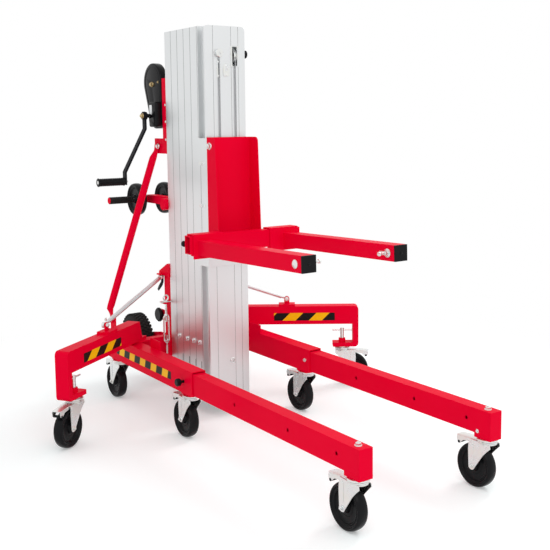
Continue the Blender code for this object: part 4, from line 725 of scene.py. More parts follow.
# %% A small class for node trees of geometry
class Shape(Finish):
    """A geometry tree that is written with the same calls as a finish."""

    def __init__(self, name, **sizes):
        self.tree = bpy.data.node_groups.new(name, "GeometryNodeTree")
        self.sizes = {}
        kinds = {
            float: "NodeSocketFloat", int: "NodeSocketInt", bpy.types.Material: "NodeSocketMaterial"}
        self.tree.interface.new_socket("Geometry", in_out="INPUT", socket_type="NodeSocketGeometry")
        for title, value in sizes.items():
            kind = next(socket for base, socket in kinds.items() if isinstance(value, base))
            socket = self.tree.interface.new_socket(title, in_out="INPUT", socket_type=kind)
            self.sizes[title] = (socket.identifier, value)
        self.tree.interface.new_socket("Geometry", in_out="OUTPUT", socket_type="NodeSocketGeometry")
        self.entry = self.tree.nodes.new("NodeGroupInput")

    def size(self, title):
        return Signal(self, self.entry.outputs[title])

    def given(self):
        return Signal(self, self.entry.outputs["Geometry"])

    def close(self, geometry):
        """Realize the instances, set the material and join the output."""
        real = self.node("GeometryNodeRealizeInstances", None, {"Geometry": geometry})
        done = self.node(
            "GeometryNodeSetMaterial", None, {"Geometry": real, "Material": self.size("Material")})
        out = self.tree.nodes.new("NodeGroupOutput")
        self.tree.links.new(done.socket, out.inputs["Geometry"])

    def grown(self, mesh):
        """What the tree makes of a mesh, as a plain mesh."""
        item = bpy.data.objects.new("scratch", mesh)
        bpy.context.scene.collection.objects.link(item)
        modifier = item.modifiers.new("shape", "NODES")
        modifier.node_group = self.tree
        for identifier, value in self.sizes.values():
            modifier[identifier] = value
        bpy.context.view_layer.update()
        return evaluated_mesh(item)


print("a tree of geometry has named sizes and ends in a plain mesh")

# %% [markdown]
# ## Tread
#
# Behind the base two treaded tyres carry the machine when it is tipped back.
# The tread is a rule: the same block, four times across and many times
# round, each row half a step on from the one before. Geometry Nodes work out
# the points of the rings from their index and set one block on each.

# %% Tread
LUG_LOW = (-0.0066, -0.003, -0.0064)
LUG_HIGH = (0.0066, 0.0038, 0.0064)


def block(low, high, edge=0.001, segments=2):
    """A bar or plate between two corners, with rounded edges."""
    shape = bmesh.new()
    bmesh.ops.create_cube(shape, size=1.0)
    for vert in shape.verts:
        vert.co = Vector(a + (c + 0.5) * (b - a) for c, a, b in zip(vert.co, low, high))
    bmesh.ops.bevel(
        shape, geom=list(shape.edges), offset=edge, segments=segments, affect="EDGES", profile=0.5)
    mesh = bpy.data.meshes.new("block")
    shape.to_mesh(mesh)
    shape.free()
    shade(mesh)
    return mesh


def tread_tree():
    tree = Shape("tyre_tread", Blocks=40, Rows=4, Radius=0.1275, Row_gap=0.0145, Material=RUBBER)
    index = tree.node("GeometryNodeInputIndex")
    blocks, gap, radius = tree.size("Blocks"), tree.size("Row_gap"), tree.size("Radius")
    row = index.maths("DIVIDE", blocks).maths("FLOOR")
    angle = (index - row * blocks + 0.5 * row).maths("DIVIDE", blocks) * math.tau
    spot = tree.node("ShaderNodeCombineXYZ", None, {
        "X": (row - 1.5) * gap, "Y": angle.maths("COSINE") * radius,
        "Z": angle.maths("SINE") * radius})
    points = tree.node(
        "GeometryNodePoints", None, {"Count": blocks * tree.size("Rows"), "Position": spot})
    turn = tree.node("ShaderNodeCombineXYZ", None, {"X": angle})
    tree.close(tree.node("GeometryNodeInstanceOnPoints", None, {
        "Points": points, "Instance": tree.given(), "Rotation": turn}))
    return tree


TREAD = tread_tree()
print("the tread tree has", len(TREAD.tree.nodes), "nodes")

# %% [markdown]
# ## Transport tyres
#
# Under the blocks a tyre is a turned profile, and so is the pressed rim that
# it sits on. Tyre and tread become one mesh, because they are one rubber
# moulding, and the rim is a piece of its own with the paint's finish.

# %% Transport tyres
TYRE_RIGHT = [
    (0.0300, 0.0760), (0.0322, 0.0860), (0.0325, 0.1000), (0.0305, 0.1150), (0.0240, 0.1245),
    (0.0150, 0.1275), (0.0, 0.1280)]
RIM_RIGHT = [
    (0.0325, 0.0105), (0.0325, 0.0200), (0.0290, 0.0260), (0.0120, 0.0300), (0.0080, 0.0360),
    (0.0080, 0.0600), (0.0140, 0.0680), (0.0270, 0.0715), (0.0310, 0.0740), (0.0310, 0.0790),
    (0.0, 0.0790)]
RIM_ROUNDING = 0.002


def together(*meshes):
    """Several meshes as one."""
    shape = bmesh.new()
    for mesh in meshes:
        shape.from_mesh(mesh)
    made = bpy.data.meshes.new("together")
    shape.to_mesh(made)
    shape.free()
    return made


def make_transport_wheels():
    for _, side in LEFT_RIGHT:
        node = f"transport_wheel_{side}"
        centre, axis = AXES[f"{node}_roll"]
        tread = TREAD.grown(block(LUG_LOW, LUG_HIGH, 0.0010, 1))
        tyre = together(spun(mirrored_profile(TYRE_RIGHT), 64), tread)
        shade(tyre)
        add_piece(f"{node}_tyre", laid(tyre, centre, axis), RUBBER, node, [node])
        rim = spun(rounded(mirrored_profile(RIM_RIGHT), RIM_ROUNDING, 2), 48)
        add_piece(f"{node}_rim", laid(rim, centre, axis), BLACK, node, [node])
    return len(tyre.polygons)


print(make_transport_wheels(), "faces on each tyre")

# %% [markdown]
# ## Loading wheels and handle grips
#
# The two wheels on the handle are the same moulding as the casters' wheels.
# Outside each of them a vinyl sleeve with grip rings is slipped on the bar,
# up to just short of its red end, and a plated ring stops the wheel.

# %% Loading wheels and sleeves
SLEEVE_START = 0.104
SLEEVE_END = 0.2255
SLEEVE_RADIUS = 0.0172
SLEEVE_GROOVE = 0.0162
SLEEVE_PITCH = 0.012
SLEEVE_BORE = 0.0155
STOP_RING = [(0.0995, 0.0105), (0.0995, 0.0165), (0.1035, 0.0165), (0.1035, 0.0105), (0.0995, 0.0105)]
BAR_BEHIND = 0.743
BAR_HEIGHT = 0.930


def at(x, behind, z):
    """A point by its distance behind the mast's front face."""
    return Vector((x, MAST_FRONT + behind, z))


def ringed(start, end, outer, groove, pitch, bore):
    """The profile of a sleeve with grooves round it."""
    count = int((end - start) / pitch)
    points = [(start, bore), (start, outer)]
    for number in range(1, count):
        along = start + number * (end - start) / count
        points += [(along - 0.0016, outer), (along, groove), (along + 0.0016, outer)]
    return points + [(end, outer), (end, bore), (start, bore)]


def make_loading_wheels():
    grip = ringed(SLEEVE_START, SLEEVE_END, SLEEVE_RADIUS, SLEEVE_GROOVE, SLEEVE_PITCH, SLEEVE_BORE)
    middle = at(0, BAR_BEHIND, BAR_HEIGHT)
    for sign, side in LEFT_RIGHT:
        add_wheel(f"loading_wheel_{side}")
        sleeve = laid(spun(grip, 40), middle, (sign, 0, 0))
        add_piece(f"handle_sleeve_{side}", sleeve, RUBBER, "base")
        ring = laid(spun(STOP_RING, 32), middle, (sign, 0, 0))
        add_piece(f"handle_ring_{side}", ring, ZINC, "base")


make_loading_wheels()
print("two loading wheels, two sleeves, two rings")

# %% [markdown]
# ## Plates with holes
#
# Much of a machine is cut from plate. A plate with holes is an outline and
# its holes, as flat rings of points, which are filled, pushed out to the
# plate's thickness and bevelled at the rim. Circles, arcs and rounded
# rectangles are the outlines that keep coming back.

# %% Plates with holes
RIM_FROM = math.radians(60.0)


def circle(centre, radius, steps=24):
    angles = [math.tau * n / steps for n in range(steps)]
    return [(centre[0] + radius * math.cos(a), centre[1] + radius * math.sin(a)) for a in angles]


def arc(centre, radius, start_deg, end_deg, steps):
    """Points round part of a circle, both ends counted."""
    angles = [math.radians(start_deg + (end_deg - start_deg) * n / steps) for n in range(steps + 1)]
    return [(centre[0] + radius * math.cos(a), centre[1] + radius * math.sin(a)) for a in angles]


def rectangle(low, high, corner=0.0, steps=4):
    """Four corners, or four small arcs in their place."""
    if not corner:
        return [(low[0], low[1]), (high[0], low[1]), (high[0], high[1]), (low[0], high[1])]
    points = []
    for number, (y, z) in enumerate((
            (high[0] - corner, high[1] - corner), (low[0] + corner, high[1] - corner),
            (low[0] + corner, low[1] + corner), (high[0] - corner, low[1] + corner))):
        for step in range(steps + 1):
            angle = math.pi / 2 * (number + step / steps)
            points.append((y + corner * math.cos(angle), z + corner * math.sin(angle)))
    return points


def plate(outline, holes, thickness, edge=0.0, segments=2):
    """A plate in the YZ plane, from x = 0 to its thickness."""
    shape = bmesh.new()
    for ring in (outline, *holes):
        verts = [shape.verts.new((0.0, y, z)) for y, z in ring]
        for pair in zip(verts, verts[1:] + verts[:1]):
            shape.edges.new(pair)
    bmesh.ops.triangle_fill(shape, edges=list(shape.edges), use_beauty=True, use_dissolve=False)
    walls = bmesh.ops.extrude_face_region(shape, geom=list(shape.faces))
    moved = [part for part in walls["geom"] if isinstance(part, bmesh.types.BMVert)]
    bmesh.ops.translate(shape, verts=moved, vec=(thickness, 0.0, 0.0))
    bmesh.ops.recalc_face_normals(shape, faces=list(shape.faces))
    bmesh.ops.dissolve_limit(
        shape, angle_limit=FLAT_WITHIN, verts=list(shape.verts), edges=list(shape.edges))
    if edge:
        rims = [e for e in shape.edges if len(e.link_faces) == 2 and e.calc_face_angle() > RIM_FROM]
        bmesh.ops.bevel(shape, geom=rims, offset=edge, segments=segments, affect="EDGES", profile=0.5)
    mesh = bpy.data.meshes.new("plate")
    shape.to_mesh(mesh)
    shape.free()
    shade(mesh)
    return mesh


washer = plate(circle((0, 0), 1.0), [circle((0, 0), 0.5)], 0.1)
print("a plate with one hole has", len(washer.polygons), "faces")

# %% [markdown]
# ## Caster forks
#
# The real fork is pressed from plate: a crown with two cheeks bent down from
# it, a rib pressed into each cheek, and two races that turn on balls. The
# brake pedal is a shallow channel with a rounded end and a rubber stop below.
# Each plate is one outline here, drawn with the swivel at 0 and the wheel
# trailing to +Y, and the whole fork is then turned to its caster's trail.

# %% Caster forks
CROWN_TOP = 0.179
CROWN_THICKNESS = 0.005
CHEEK_INSIDE = 0.024
CHEEK_THICKNESS = 0.003
AXLE_SPOT = (0.050, 0.080)
CROWN_RADIUS = 0.035
CROWN_HALF = 0.0268
CROWN_FRONT = 0.018
CROWN_BACK = 0.064
RIB_LOW = (0.041, 0.098)
RIB_HIGH = (0.060, 0.172)
RIB_HEIGHT = 0.0016
PEDAL_HALF = 0.020
PEDAL_END = 0.134
PEDAL_CORNER = 0.011
PEDAL_ROOT = 0.030
PEDAL_SLOPE = math.radians(-4.5)
PEDAL_THICKNESS = 0.0022
PEDAL_FLANGE = [
    (0.046, 0.1780), (0.126, 0.1728), (0.130, 0.1640), (0.126, 0.1490), (0.118, 0.1430),
    (0.109, 0.1500), (0.098, 0.1600), (0.070, 0.1645), (0.046, 0.1660)]
STOP_SPOT = (0.118, 0.1495)
STOP_PROFILE = [(-0.021, 0.0), (-0.021, 0.0055), (0.021, 0.0055), (0.021, 0.0)]
RACES = [
    (0.1785, 0.0066), (0.1785, 0.0300), (0.1800, 0.0350), (0.1840, 0.0350), (0.1852, 0.0320),
    (0.1860, 0.0320), (0.1868, 0.0378), (0.1915, 0.0378), (0.1925, 0.0366), (0.1925, 0.0066),
    (0.1785, 0.0066)]


def lying(outline, height, thickness, edge):
    """A flat plate, drawn in (y, x), whose underside is at the height."""
    mesh = plate(outline, [], thickness, edge, 1)
    mesh.transform(Matrix.Translation((0, 0, height)) @ Matrix.Rotation(-math.pi / 2, 4, "Y"))
    return mesh


def both_sides(outline, inner, thickness, edge):
    """The same plate at both cheeks, standing outside x = inner and x = -inner."""
    made = []
    for start in (inner, -inner - thickness):
        mesh = plate(outline, [], thickness, edge, 1)
        mesh.transform(Matrix.Translation((start, 0, 0)))
        made.append(mesh)
    return made


def pedal_mesh():
    side = PEDAL_END - PEDAL_CORNER
    out = PEDAL_HALF - PEDAL_CORNER
    outline = (
        [(PEDAL_ROOT, -PEDAL_HALF)] + arc((side, -out), PEDAL_CORNER, -90, 0, 5)
        + arc((side, out), PEDAL_CORNER, 0, 90, 5) + [(PEDAL_ROOT, PEDAL_HALF)])
    pad = lying(outline, 0.0, PEDAL_THICKNESS, 0.0007)
    to_root = Matrix.Translation((0, -PEDAL_ROOT, 0))
    back = Matrix.Translation((0, PEDAL_ROOT, CROWN_TOP + 0.0005))
    pad.transform(back @ Matrix.Rotation(PEDAL_SLOPE, 4, "X") @ to_root)
    return [pad] + both_sides(PEDAL_FLANGE, PEDAL_HALF - PEDAL_THICKNESS, 0.0020, 0.0005)


def fork_mesh():
    cheek = (
        [(-0.033, CROWN_TOP - 0.0005), (-0.036, 0.166), (-0.020, 0.151), (-0.002, 0.132)]
        + arc(AXLE_SPOT, 0.014, 200, 360, 10) + [(0.067, 0.140), (0.064, CROWN_TOP - 0.0005)])
    crown = (
        [(CROWN_BACK, -CROWN_HALF), (CROWN_FRONT, -CROWN_HALF)]
        + arc((0, 0), CROWN_RADIUS, -60, -300, 20)
        + [(CROWN_FRONT, CROWN_HALF), (CROWN_BACK, CROWN_HALF)])
    rib = rectangle(RIB_LOW, RIB_HIGH, 0.0090)
    parts = both_sides(cheek, CHEEK_INSIDE, CHEEK_THICKNESS, 0.0008)
    parts += both_sides(rib, CHEEK_INSIDE + CHEEK_THICKNESS - 0.0002, RIB_HEIGHT, 0.0007)
    parts.append(lying(crown, CROWN_TOP - CROWN_THICKNESS, CROWN_THICKNESS, 0.0008))
    parts.append(laid(spun(RACES, 48), (0, 0, 0), (0, 0, 1)))
    end = CHEEK_INSIDE + CHEEK_THICKNESS + 0.0005
    axle = spun([(-end, 0.0), (-end, 0.0060), (end, 0.0060), (end, 0.0)], 20)
    parts.append(laid(axle, (0, *AXLE_SPOT), (1, 0, 0)))
    return together(*parts, *pedal_mesh())


def make_caster_forks():
    for place in CASTER_PLACES:
        for _, side in LEFT_RIGHT:
            node = f"caster_fork_{place}_{side}"
            swivel = AXES[f"caster_swivel_{place}_{side}"][0]
            trail = AXES[f"caster_wheel_{place}_{side}_roll"][0] - swivel
            trail.z = 0.0
            trail.normalize()
            turn = Matrix((trail.cross(Vector((0, 0, 1))), trail, (0, 0, 1))).transposed().to_4x4()
            spot = Matrix.Translation((swivel.x, swivel.y, 0.0)) @ turn
            fork = fork_mesh()
            fork.transform(spot)
            add_piece(f"{node}_pressed", fork, ZINC, node, [node])
            stop = laid(spun(rounded(STOP_PROFILE, 0.0015, 2), 20), (0, *STOP_SPOT), (1, 0, 0))
            stop.transform(spot)
            add_piece(f"caster_stop_{place}_{side}", stop, NYLON, node)


make_caster_forks()
print("eight pressed forks, each", round(PEDAL_END * 1000), "mm from swivel to pedal end")

# %% [markdown]
# ## The winch's drum and its rope
#
# Between the winch's side plates turns a drum: a tube with two plated flanges
# that have round windows pressed in them, and many turns of steel rope. The
# flanges are plates with holes. The rope is a spiral curve with a round
# section, which Geometry Nodes make from the number of turns, the radius and
# the width.

# %% Winch drum
DRUM_CORE = 0.032
DRUM_BORE = 0.0085
FLANGE_RADIUS = 0.0745
FLANGE_INNER = 0.0490
FLANGE_THICKNESS = 0.003
WINDOW_COUNT = 6
WINDOW_RADIUS = 0.010
WINDOW_RING = 0.053
ROPE_START = -0.042
DRUM_AXLE = [
    (-0.1110, 0.0), (-0.1110, 0.0060), (-0.1033, 0.0060), (-0.1033, 0.0078), (0.0650, 0.0078),
    (0.0650, 0.0)]


def rope_tree():
    tree = Shape("wound_rope", Turns=16.0, Radius=0.0348, Width=0.084, Rope=0.0026, Material=CABLE)
    spiral = tree.node("GeometryNodeCurveSpiral", None, {
        "Resolution": 28, "Rotations": tree.size("Turns"), "Start Radius": tree.size("Radius"),
        "End Radius": tree.size("Radius"), "Height": tree.size("Width")})
    section = tree.node(
        "GeometryNodeCurvePrimitiveCircle", None, {"Resolution": 8, "Radius": tree.size("Rope")})
    tree.close(tree.node("GeometryNodeCurveToMesh", None, {
        "Curve": spiral, "Profile Curve": section, "Fill Caps": True}))
    return tree


def make_drum():
    centre, axis = AXES["drum_turn"]
    windows = [circle(spot, WINDOW_RADIUS, 16) for spot in circle((0, 0), WINDOW_RING, WINDOW_COUNT)]
    holes = [circle((0, 0), DRUM_BORE, 24)] + windows
    disc = plate(circle((0, 0), FLANGE_RADIUS, 56), holes, FLANGE_THICKNESS, 0.0006, 1)
    other = disc.copy()
    disc.transform(Matrix.Translation((FLANGE_INNER, 0, 0)))
    other.transform(Matrix.Translation((-FLANGE_INNER - FLANGE_THICKNESS, 0, 0)))
    core = spun([
        (-FLANGE_INNER, DRUM_BORE), (-FLANGE_INNER, DRUM_CORE), (FLANGE_INNER, DRUM_CORE),
        (FLANGE_INNER, DRUM_BORE), (-FLANGE_INNER, DRUM_BORE)], 48)
    axle = spun(rounded(DRUM_AXLE, 0.0008, 2), 24)
    drum = together(disc, other, core, axle)
    shade(drum)
    add_piece("winch_drum_windowed", laid(drum, centre, axis), ZINC, "winch_drum", ["winch_drum"])
    rope = rope_tree().grown(bpy.data.meshes.new("nothing"))
    shade(rope, 60.0)
    rope.transform(
        Matrix.Translation((ROPE_START, 0, 0)) @ Matrix.Rotation(math.radians(90.0), 4, "Y"))
    add_piece("winch_rope", laid(rope, centre, axis), CABLE, "winch_drum")
    return len(rope.polygons)


print(make_drum(), "faces of wound rope")

# %% [markdown]
# ## Crank grips
#
# Each crank ends in a turning grip: a moulded sleeve with shallow rings and a
# raised collar at both ends, closed by a plated cap. Both are turned shapes,
# and a loop writes the rings into the sleeve's profile.

# %% Crank grips
GRIP_START = 0.2716
GRIP_INNER_COLLAR = [
    (0.0, 0.0095), (0.0, 0.0178), (0.0015, 0.0195), (0.0050, 0.0195), (0.0065, 0.0176)]
GRIP_OUTER_COLLAR = [
    (0.1235, 0.0176), (0.1250, 0.0195), (0.1285, 0.0195), (0.1300, 0.0170), (0.1300, 0.0095)]
GRIP_RING = [(0.0, 0.0180), (0.0030, 0.0181), (0.0040, 0.0171), (0.0062, 0.0171)]
GRIP_RINGS = 11
GRIP_RINGS_START = 0.012
GRIP_PITCH = 0.0102
GRIP_CAP = [(0.1240, 0.0), (0.1240, 0.0094), (0.1296, 0.0094), (0.1296, 0.0)]


def grip_profile():
    points = list(GRIP_INNER_COLLAR)
    for number in range(GRIP_RINGS):
        start = GRIP_RINGS_START + number * GRIP_PITCH
        points += [(start + along, out) for along, out in GRIP_RING]
    points += GRIP_OUTER_COLLAR
    return points + [points[0]]


def make_grips():
    for sign, side in LEFT_RIGHT:
        node = f"crank_grip_{side}"
        centre, _ = AXES[f"{node}_spin"]
        start = (sign * GRIP_START, centre.y, centre.z)
        sleeve = laid(spun(grip_profile(), 48), start, (sign, 0, 0))
        add_piece(f"{node}_ringed", sleeve, NYLON, node, [node])
        cap = laid(spun(rounded(GRIP_CAP, 0.002, 3), 32), start, (sign, 0, 0))
        add_piece(f"{node}_end", cap, ZINC, node)


make_grips()
print("two crank grips of", GRIP_OUTER_COLLAR[-1][0], "m")

# %% [markdown]
# ## Fasteners
#
# Bolts are what repeats most on this machine. A mesh of bare points carries
# two attributes, which way a head faces and how large it is, and one tree
# sets a washer, a six-sided head with a chamfer and a stud's end on each. A
# second tree sets low round heads. All points of one body make one mesh.

# %% Fastener trees
def facing_points(places):
    """Bare points with the attributes facing and size."""
    mesh = bpy.data.meshes.new("points")
    mesh.from_pydata([tuple(place) for place, _, _ in places], [], [])
    mesh.attributes.new("facing", "FLOAT_VECTOR", "POINT")
    mesh.attributes.new("size", "FLOAT", "POINT")
    ways = [number for _, way, _ in places for number in Vector(way).normalized()]
    mesh.attributes["facing"].data.foreach_set("vector", ways)
    mesh.attributes["size"].data.foreach_set("value", [radius for _, _, radius in places])
    return mesh


def set_on_points(tree, head):
    """One head on each point, turned to its facing and as large as its size."""
    way = tree.node("GeometryNodeInputNamedAttribute", {"data_type": "FLOAT_VECTOR"}, {"Name": "facing"})
    size = tree.node("GeometryNodeInputNamedAttribute", {"data_type": "FLOAT"}, {"Name": "size"})
    turn = tree.node("FunctionNodeAlignRotationToVector", {"axis": "Z"}, {"Vector": way})
    scale = tree.node("ShaderNodeCombineXYZ", None, {"X": size, "Y": size, "Z": size})
    tree.close(tree.node("GeometryNodeInstanceOnPoints", None, {
        "Points": tree.given(), "Instance": head, "Rotation": turn, "Scale": scale}))
    return tree


def stacked(tree, steps):
    """Cones on one another: sides, low radius, high radius, height of each."""
    join = tree.tree.nodes.new("GeometryNodeJoinGeometry")
    height = 0.0
    for sides, low, high, depth in steps:
        cone = tree.node("GeometryNodeMeshCone", None, {
            "Vertices": sides, "Radius Bottom": low, "Radius Top": high, "Depth": depth})
        lift = tree.node("ShaderNodeCombineXYZ", None, {"Z": height})
        moved = tree.node("GeometryNodeTransform", None, {"Geometry": cone, "Translation": lift})
        tree.tree.links.new(moved.socket, join.inputs[0])
        height = height + depth
    return Signal(tree, join.outputs[0])


def bolt_tree(finish):
    tree = Shape(f"hex_heads_{finish.name}", Washer=1.25, Head=0.62, Stud=0.30, Material=finish)
    return set_on_points(tree, stacked(tree, [
        (20, tree.size("Washer"), 1.18, 0.22), (6, 1.0, 1.0, tree.size("Head")), (6, 1.0, 0.80, 0.12),
        (12, 0.46, 0.42, tree.size("Stud"))]))


def round_tree(finish):
    tree = Shape(f"round_heads_{finish.name}", Flange=1.0, Crown=0.34, Material=finish)
    return set_on_points(tree, stacked(tree, [
        (20, tree.size("Flange"), 0.98, 0.14), (20, 0.98, 0.72, 0.6 * tree.size("Crown")),
        (20, 0.72, 0.36, 0.4 * tree.size("Crown")), (20, 0.36, 0.05, 0.06)]))


def yellow_zinc():
    finish = Finish("yellow_zinc")
    cloud = finish.noise(60.0, 3.0)
    return finish.surface(
        Base_Color=finish.mix(cloud, (0.62, 0.47, 0.22), (0.50, 0.40, 0.25)), Metallic=1.0,
        Roughness=0.22 + 0.16 * cloud)


YELLOW_ZINC = yellow_zinc()
print("made", YELLOW_ZINC.name, "and the two ways of a head")

# %% [markdown]
# ## Places of the fasteners
#
# A real drawing lists its bolts, and so does this cell: for each kind a list
# of the body that carries the bolt, its place, the way its head faces and its
# radius. Left and right ones come from one line with a changed sign. Most
# places are given from the mast's front face, and those on the casters, the
# drum and the crank from their joints' axes.

# %% Places of the fasteners
FRONT, BACK, UP = (0, -1, 0), (0, 1, 0), (0, 0, 1)
HEX_ZINC, ROUND_ZINC, ROUND_RED, ROUND_BLACK, HEX_YELLOW = [], [], [], [], []
MAST_BOLTS = ((2, 0.2804, 0.325), (3, 0.2065, 0.326), (4, 0.1473, 0.328), (5, 0.0925, 0.330))
CARRIAGE_BAR_HEIGHTS = (1.132, 0.949)


def outward(sign):
    return (sign, 0, 0)


def list_mast_bolts():
    for section, behind, height in MAST_BOLTS:
        for sign, _ in LEFT_RIGHT:
            spot = at(sign * 0.0997, behind, height)
            HEX_ZINC.append((f"mast_section_{section}", spot, outward(sign), 0.0095))


def list_base_bolts():
    for sign, side in LEFT_RIGHT:
        for behind, body in ((-1.248, f"leg_{side}"), (0.515, "base")):
            top = 0.2955 if body != "base" else 0.3035
            HEX_ZINC.append((body, at(sign * 0.295, behind, top), UP, 0.0105))
        HEX_ZINC.append(("base", at(sign * 0.2625, -0.206, 0.254), outward(-sign), 0.0070))
        ROUND_ZINC.append((f"leg_{side}", at(sign * 0.2680, -1.224, 0.216), outward(-sign), 0.0075))
        HEX_ZINC.append((f"outrigger_arm_{side}", at(sign * 0.255, 0.3956, 0.3318), UP, 0.0105))
        HEX_ZINC.append(("base", at(sign * 0.1080, 0.4370, 1.1990), outward(sign), 0.0100))
        HEX_ZINC.append(("base", at(sign * 0.3295, 0.5860, 0.3780), outward(sign), 0.0085))
        for height in (1.3878, 1.3120, 1.2298):
            ROUND_ZINC.append(("base", at(sign * 0.0995, 0.3720, height), outward(sign), 0.0060))


def list_load_bolts():
    for sign, _ in LEFT_RIGHT:
        HEX_ZINC.append(("carriage", at(sign * 0.1078, -0.0400, 1.2060), outward(sign), 0.0125))
        for height in CARRIAGE_BAR_HEIGHTS:
            HEX_ZINC.append(("carriage", at(sign * 0.1073, 0.0300, height), outward(sign), 0.0075))
    for x, height in ((-0.058, 1.0686), (0.1, 1.0570), (0.1, 0.8790), (-0.058, 0.8600)):
        ROUND_RED.append(("carriage", at(x, -0.0200, height), FRONT, 0.0050))


def list_crank_bolts():
    for sign, side in LEFT_RIGHT:
        centre, _ = AXES[f"crank_grip_{side}_spin"]
        HEX_ZINC.append(("crank", Vector((sign * 0.2630, centre.y, centre.z)), outward(-sign), 0.0075))
    hub, _ = AXES["crank_turn"]
    HEX_YELLOW.append(("crank", Vector((-0.1690, hub.y, hub.z)), outward(-1), 0.0105))
    drum, _ = AXES["drum_turn"]
    HEX_YELLOW.append(("winch_drum", Vector((-0.1042, drum.y, drum.z)), outward(-1), 0.0100))
    HEX_YELLOW.append(("base", Vector((-0.1032, drum.y - 0.062, drum.z + 0.008)), outward(-1), 0.0050))


def list_caster_bolts():
    for place in CASTER_PLACES:
        for _, side in LEFT_RIGHT:
            centre, axis = AXES[f"caster_wheel_{place}_{side}_roll"]
            for way in (axis, -axis):
                HEX_ZINC.append((f"caster_fork_{place}_{side}", centre + way * 0.0268, way, 0.0078))


def make_fasteners():
    made = 0
    kinds = (
        ("hex_bolts", bolt_tree(ZINC), HEX_ZINC, ZINC),
        ("round_heads", round_tree(ZINC), ROUND_ZINC, ZINC),
        ("rivets", round_tree(RED), ROUND_RED, RED),
        ("cap_screws", round_tree(NYLON), ROUND_BLACK, NYLON),
        ("yellow_nuts", bolt_tree(YELLOW_ZINC), HEX_YELLOW, YELLOW_ZINC))
    for title, tree, places, finish in kinds:
        for body in sorted({place[0] for place in places}):
            here = [place[1:] for place in places if place[0] == body]
            add_piece(f"{title}_{body}", tree.grown(facing_points(here)), finish, body)
            made += len(here)
    return made


print("the places are listed by body; the heads are set once every piece is there")

# %% [markdown]
# ## The tape strips
#
# A strip is a thin plate on the painted face, with corners that a thumb would
# have rounded. Those on the arms are drawn in the arm's own directions: along
# it, out of its front face, and up.

# %% Tape strips
BEAM_TAPE = (-0.058, 0.483, 0.2330, 0.2670)
ARM_TAPE = (0.210, 0.510, 0.3310, 0.3690)
TAPE_THICKNESS = 0.0005
BEAM_OUTSIDE = 0.327
ARM_HALF_WIDTH = 0.030
ARM_LEAN = math.radians(35.28)
ARM_PIVOT = (0.255, 0.3956)


def turned_to(mesh, origin, along, out):
    """The mesh's X laid along one direction and its Y along another."""
    along, out, up = Vector(along), Vector(out), Vector((0, 0, 1))
    turn = Matrix((along, out, up)).transposed()
    mesh.transform(Matrix.Translation(Vector(origin)) @ turn.to_4x4())
    if turn.determinant() < 0.0:
        mesh.flip_normals()
    return mesh


def arm_axes(sign):
    """Where an arm starts, the way it runs and the way its front face looks."""
    along = Vector((sign * math.cos(ARM_LEAN), -math.sin(ARM_LEAN), 0.0))
    front = Vector((-sign * math.sin(ARM_LEAN), -math.cos(ARM_LEAN), 0.0))
    return at(sign * ARM_PIVOT[0], ARM_PIVOT[1], 0.0), along, front


def make_tapes():
    low, high, bottom, top = BEAM_TAPE
    beam = warning_tape("beam_tape", (0.0, 1.0), 0.26, 0.1069, 0.6560 + 0.26 * 0.25, 0.49)
    for sign, side in LEFT_RIGHT:
        face = sign * (BEAM_OUTSIDE + TAPE_THICKNESS / 2)
        strip = block(
            at(face - TAPE_THICKNESS / 2, low, bottom), at(face + TAPE_THICKNESS / 2, high, top), 0.0002, 1)
        add_piece(f"beam_tape_{side}", strip, beam, "base")
        origin, along, front = arm_axes(sign)
        offset = origin.x * along.x + origin.y * along.y
        slope = -sign * 1.0
        first_bar = offset + 0.4330 + slope * 0.35
        finish = warning_tape(f"arm_tape_{side}", (along.x, along.y), slope, 0.1305, first_bar, 0.5)
        start, end, arm_bottom, arm_top = ARM_TAPE
        strip = block(
            (start, ARM_HALF_WIDTH, arm_bottom), (end, ARM_HALF_WIDTH + TAPE_THICKNESS, arm_top), 0.0002, 1)
        turned_to(strip, origin, along, front)
        add_piece(f"arm_tape_{side}", strip, finish, f"outrigger_arm_{side}")


make_tapes()
print("four strips of tape")

# %% [markdown]
# ## Between the mast's sections
#
# Each section slides in the next one, and the thin gap at each joint lies in shade, so it shows as a fine
# dark upright line down the mast's sides. That shade is painted here, as a thin dark strip on each side of
# each joint. The front section also shows dark lines at the joints of its hollow spine, painted the same
# way.

# %% Painted shade strips at the joints
SECTION_EDGES = {6: 0.0680, 5: 0.1272, 4: 0.1864, 3: 0.2456, 2: 0.3048}
SPINE_LINES = (-0.060, 0.030, 0.066)
MAST_BOTTOM = 0.0630
MAST_TOP = 1.7140


# A dark grey for painted shade: it stands for the shade in the thin gaps and grooves of the mast and the
# carriage.
def guide_plastic():
    finish = Finish("guide_plastic")
    dust = finish.noise(70.0, 3.0)
    return finish.surface(
        Base_Color=finish.mix(dust, (0.10, 0.10, 0.10), (0.20, 0.20, 0.20)), Roughness=0.55 + 0.2 * dust)


GAP_SHADE = guide_plastic()


def side_block(sign, across, behind, heights, edge, segments=2):
    """A block on the left or the right, from its inner to its outer x."""
    low, high = sorted(sign * x for x in across)
    return block(at(low, behind[0], heights[0]), at(high, behind[1], heights[1]), edge, segments)


def make_gap_shade_strips():
    for section, behind in SECTION_EDGES.items():
        # Painted shade: a thin dark strip on each side where two sections meet.
        strips = [
            side_block(
                sign, (0.0992, 0.1002), (behind - 0.0010, behind + 0.0010),
                (MAST_BOTTOM, MAST_TOP), 0.0002, 1)
            for sign, _ in LEFT_RIGHT]
        add_piece(f"mast_guide_{section}", together(*strips), GAP_SHADE, f"mast_section_{section}")


make_gap_shade_strips()
print(len(SECTION_EDGES), "pairs of gap shade strips")
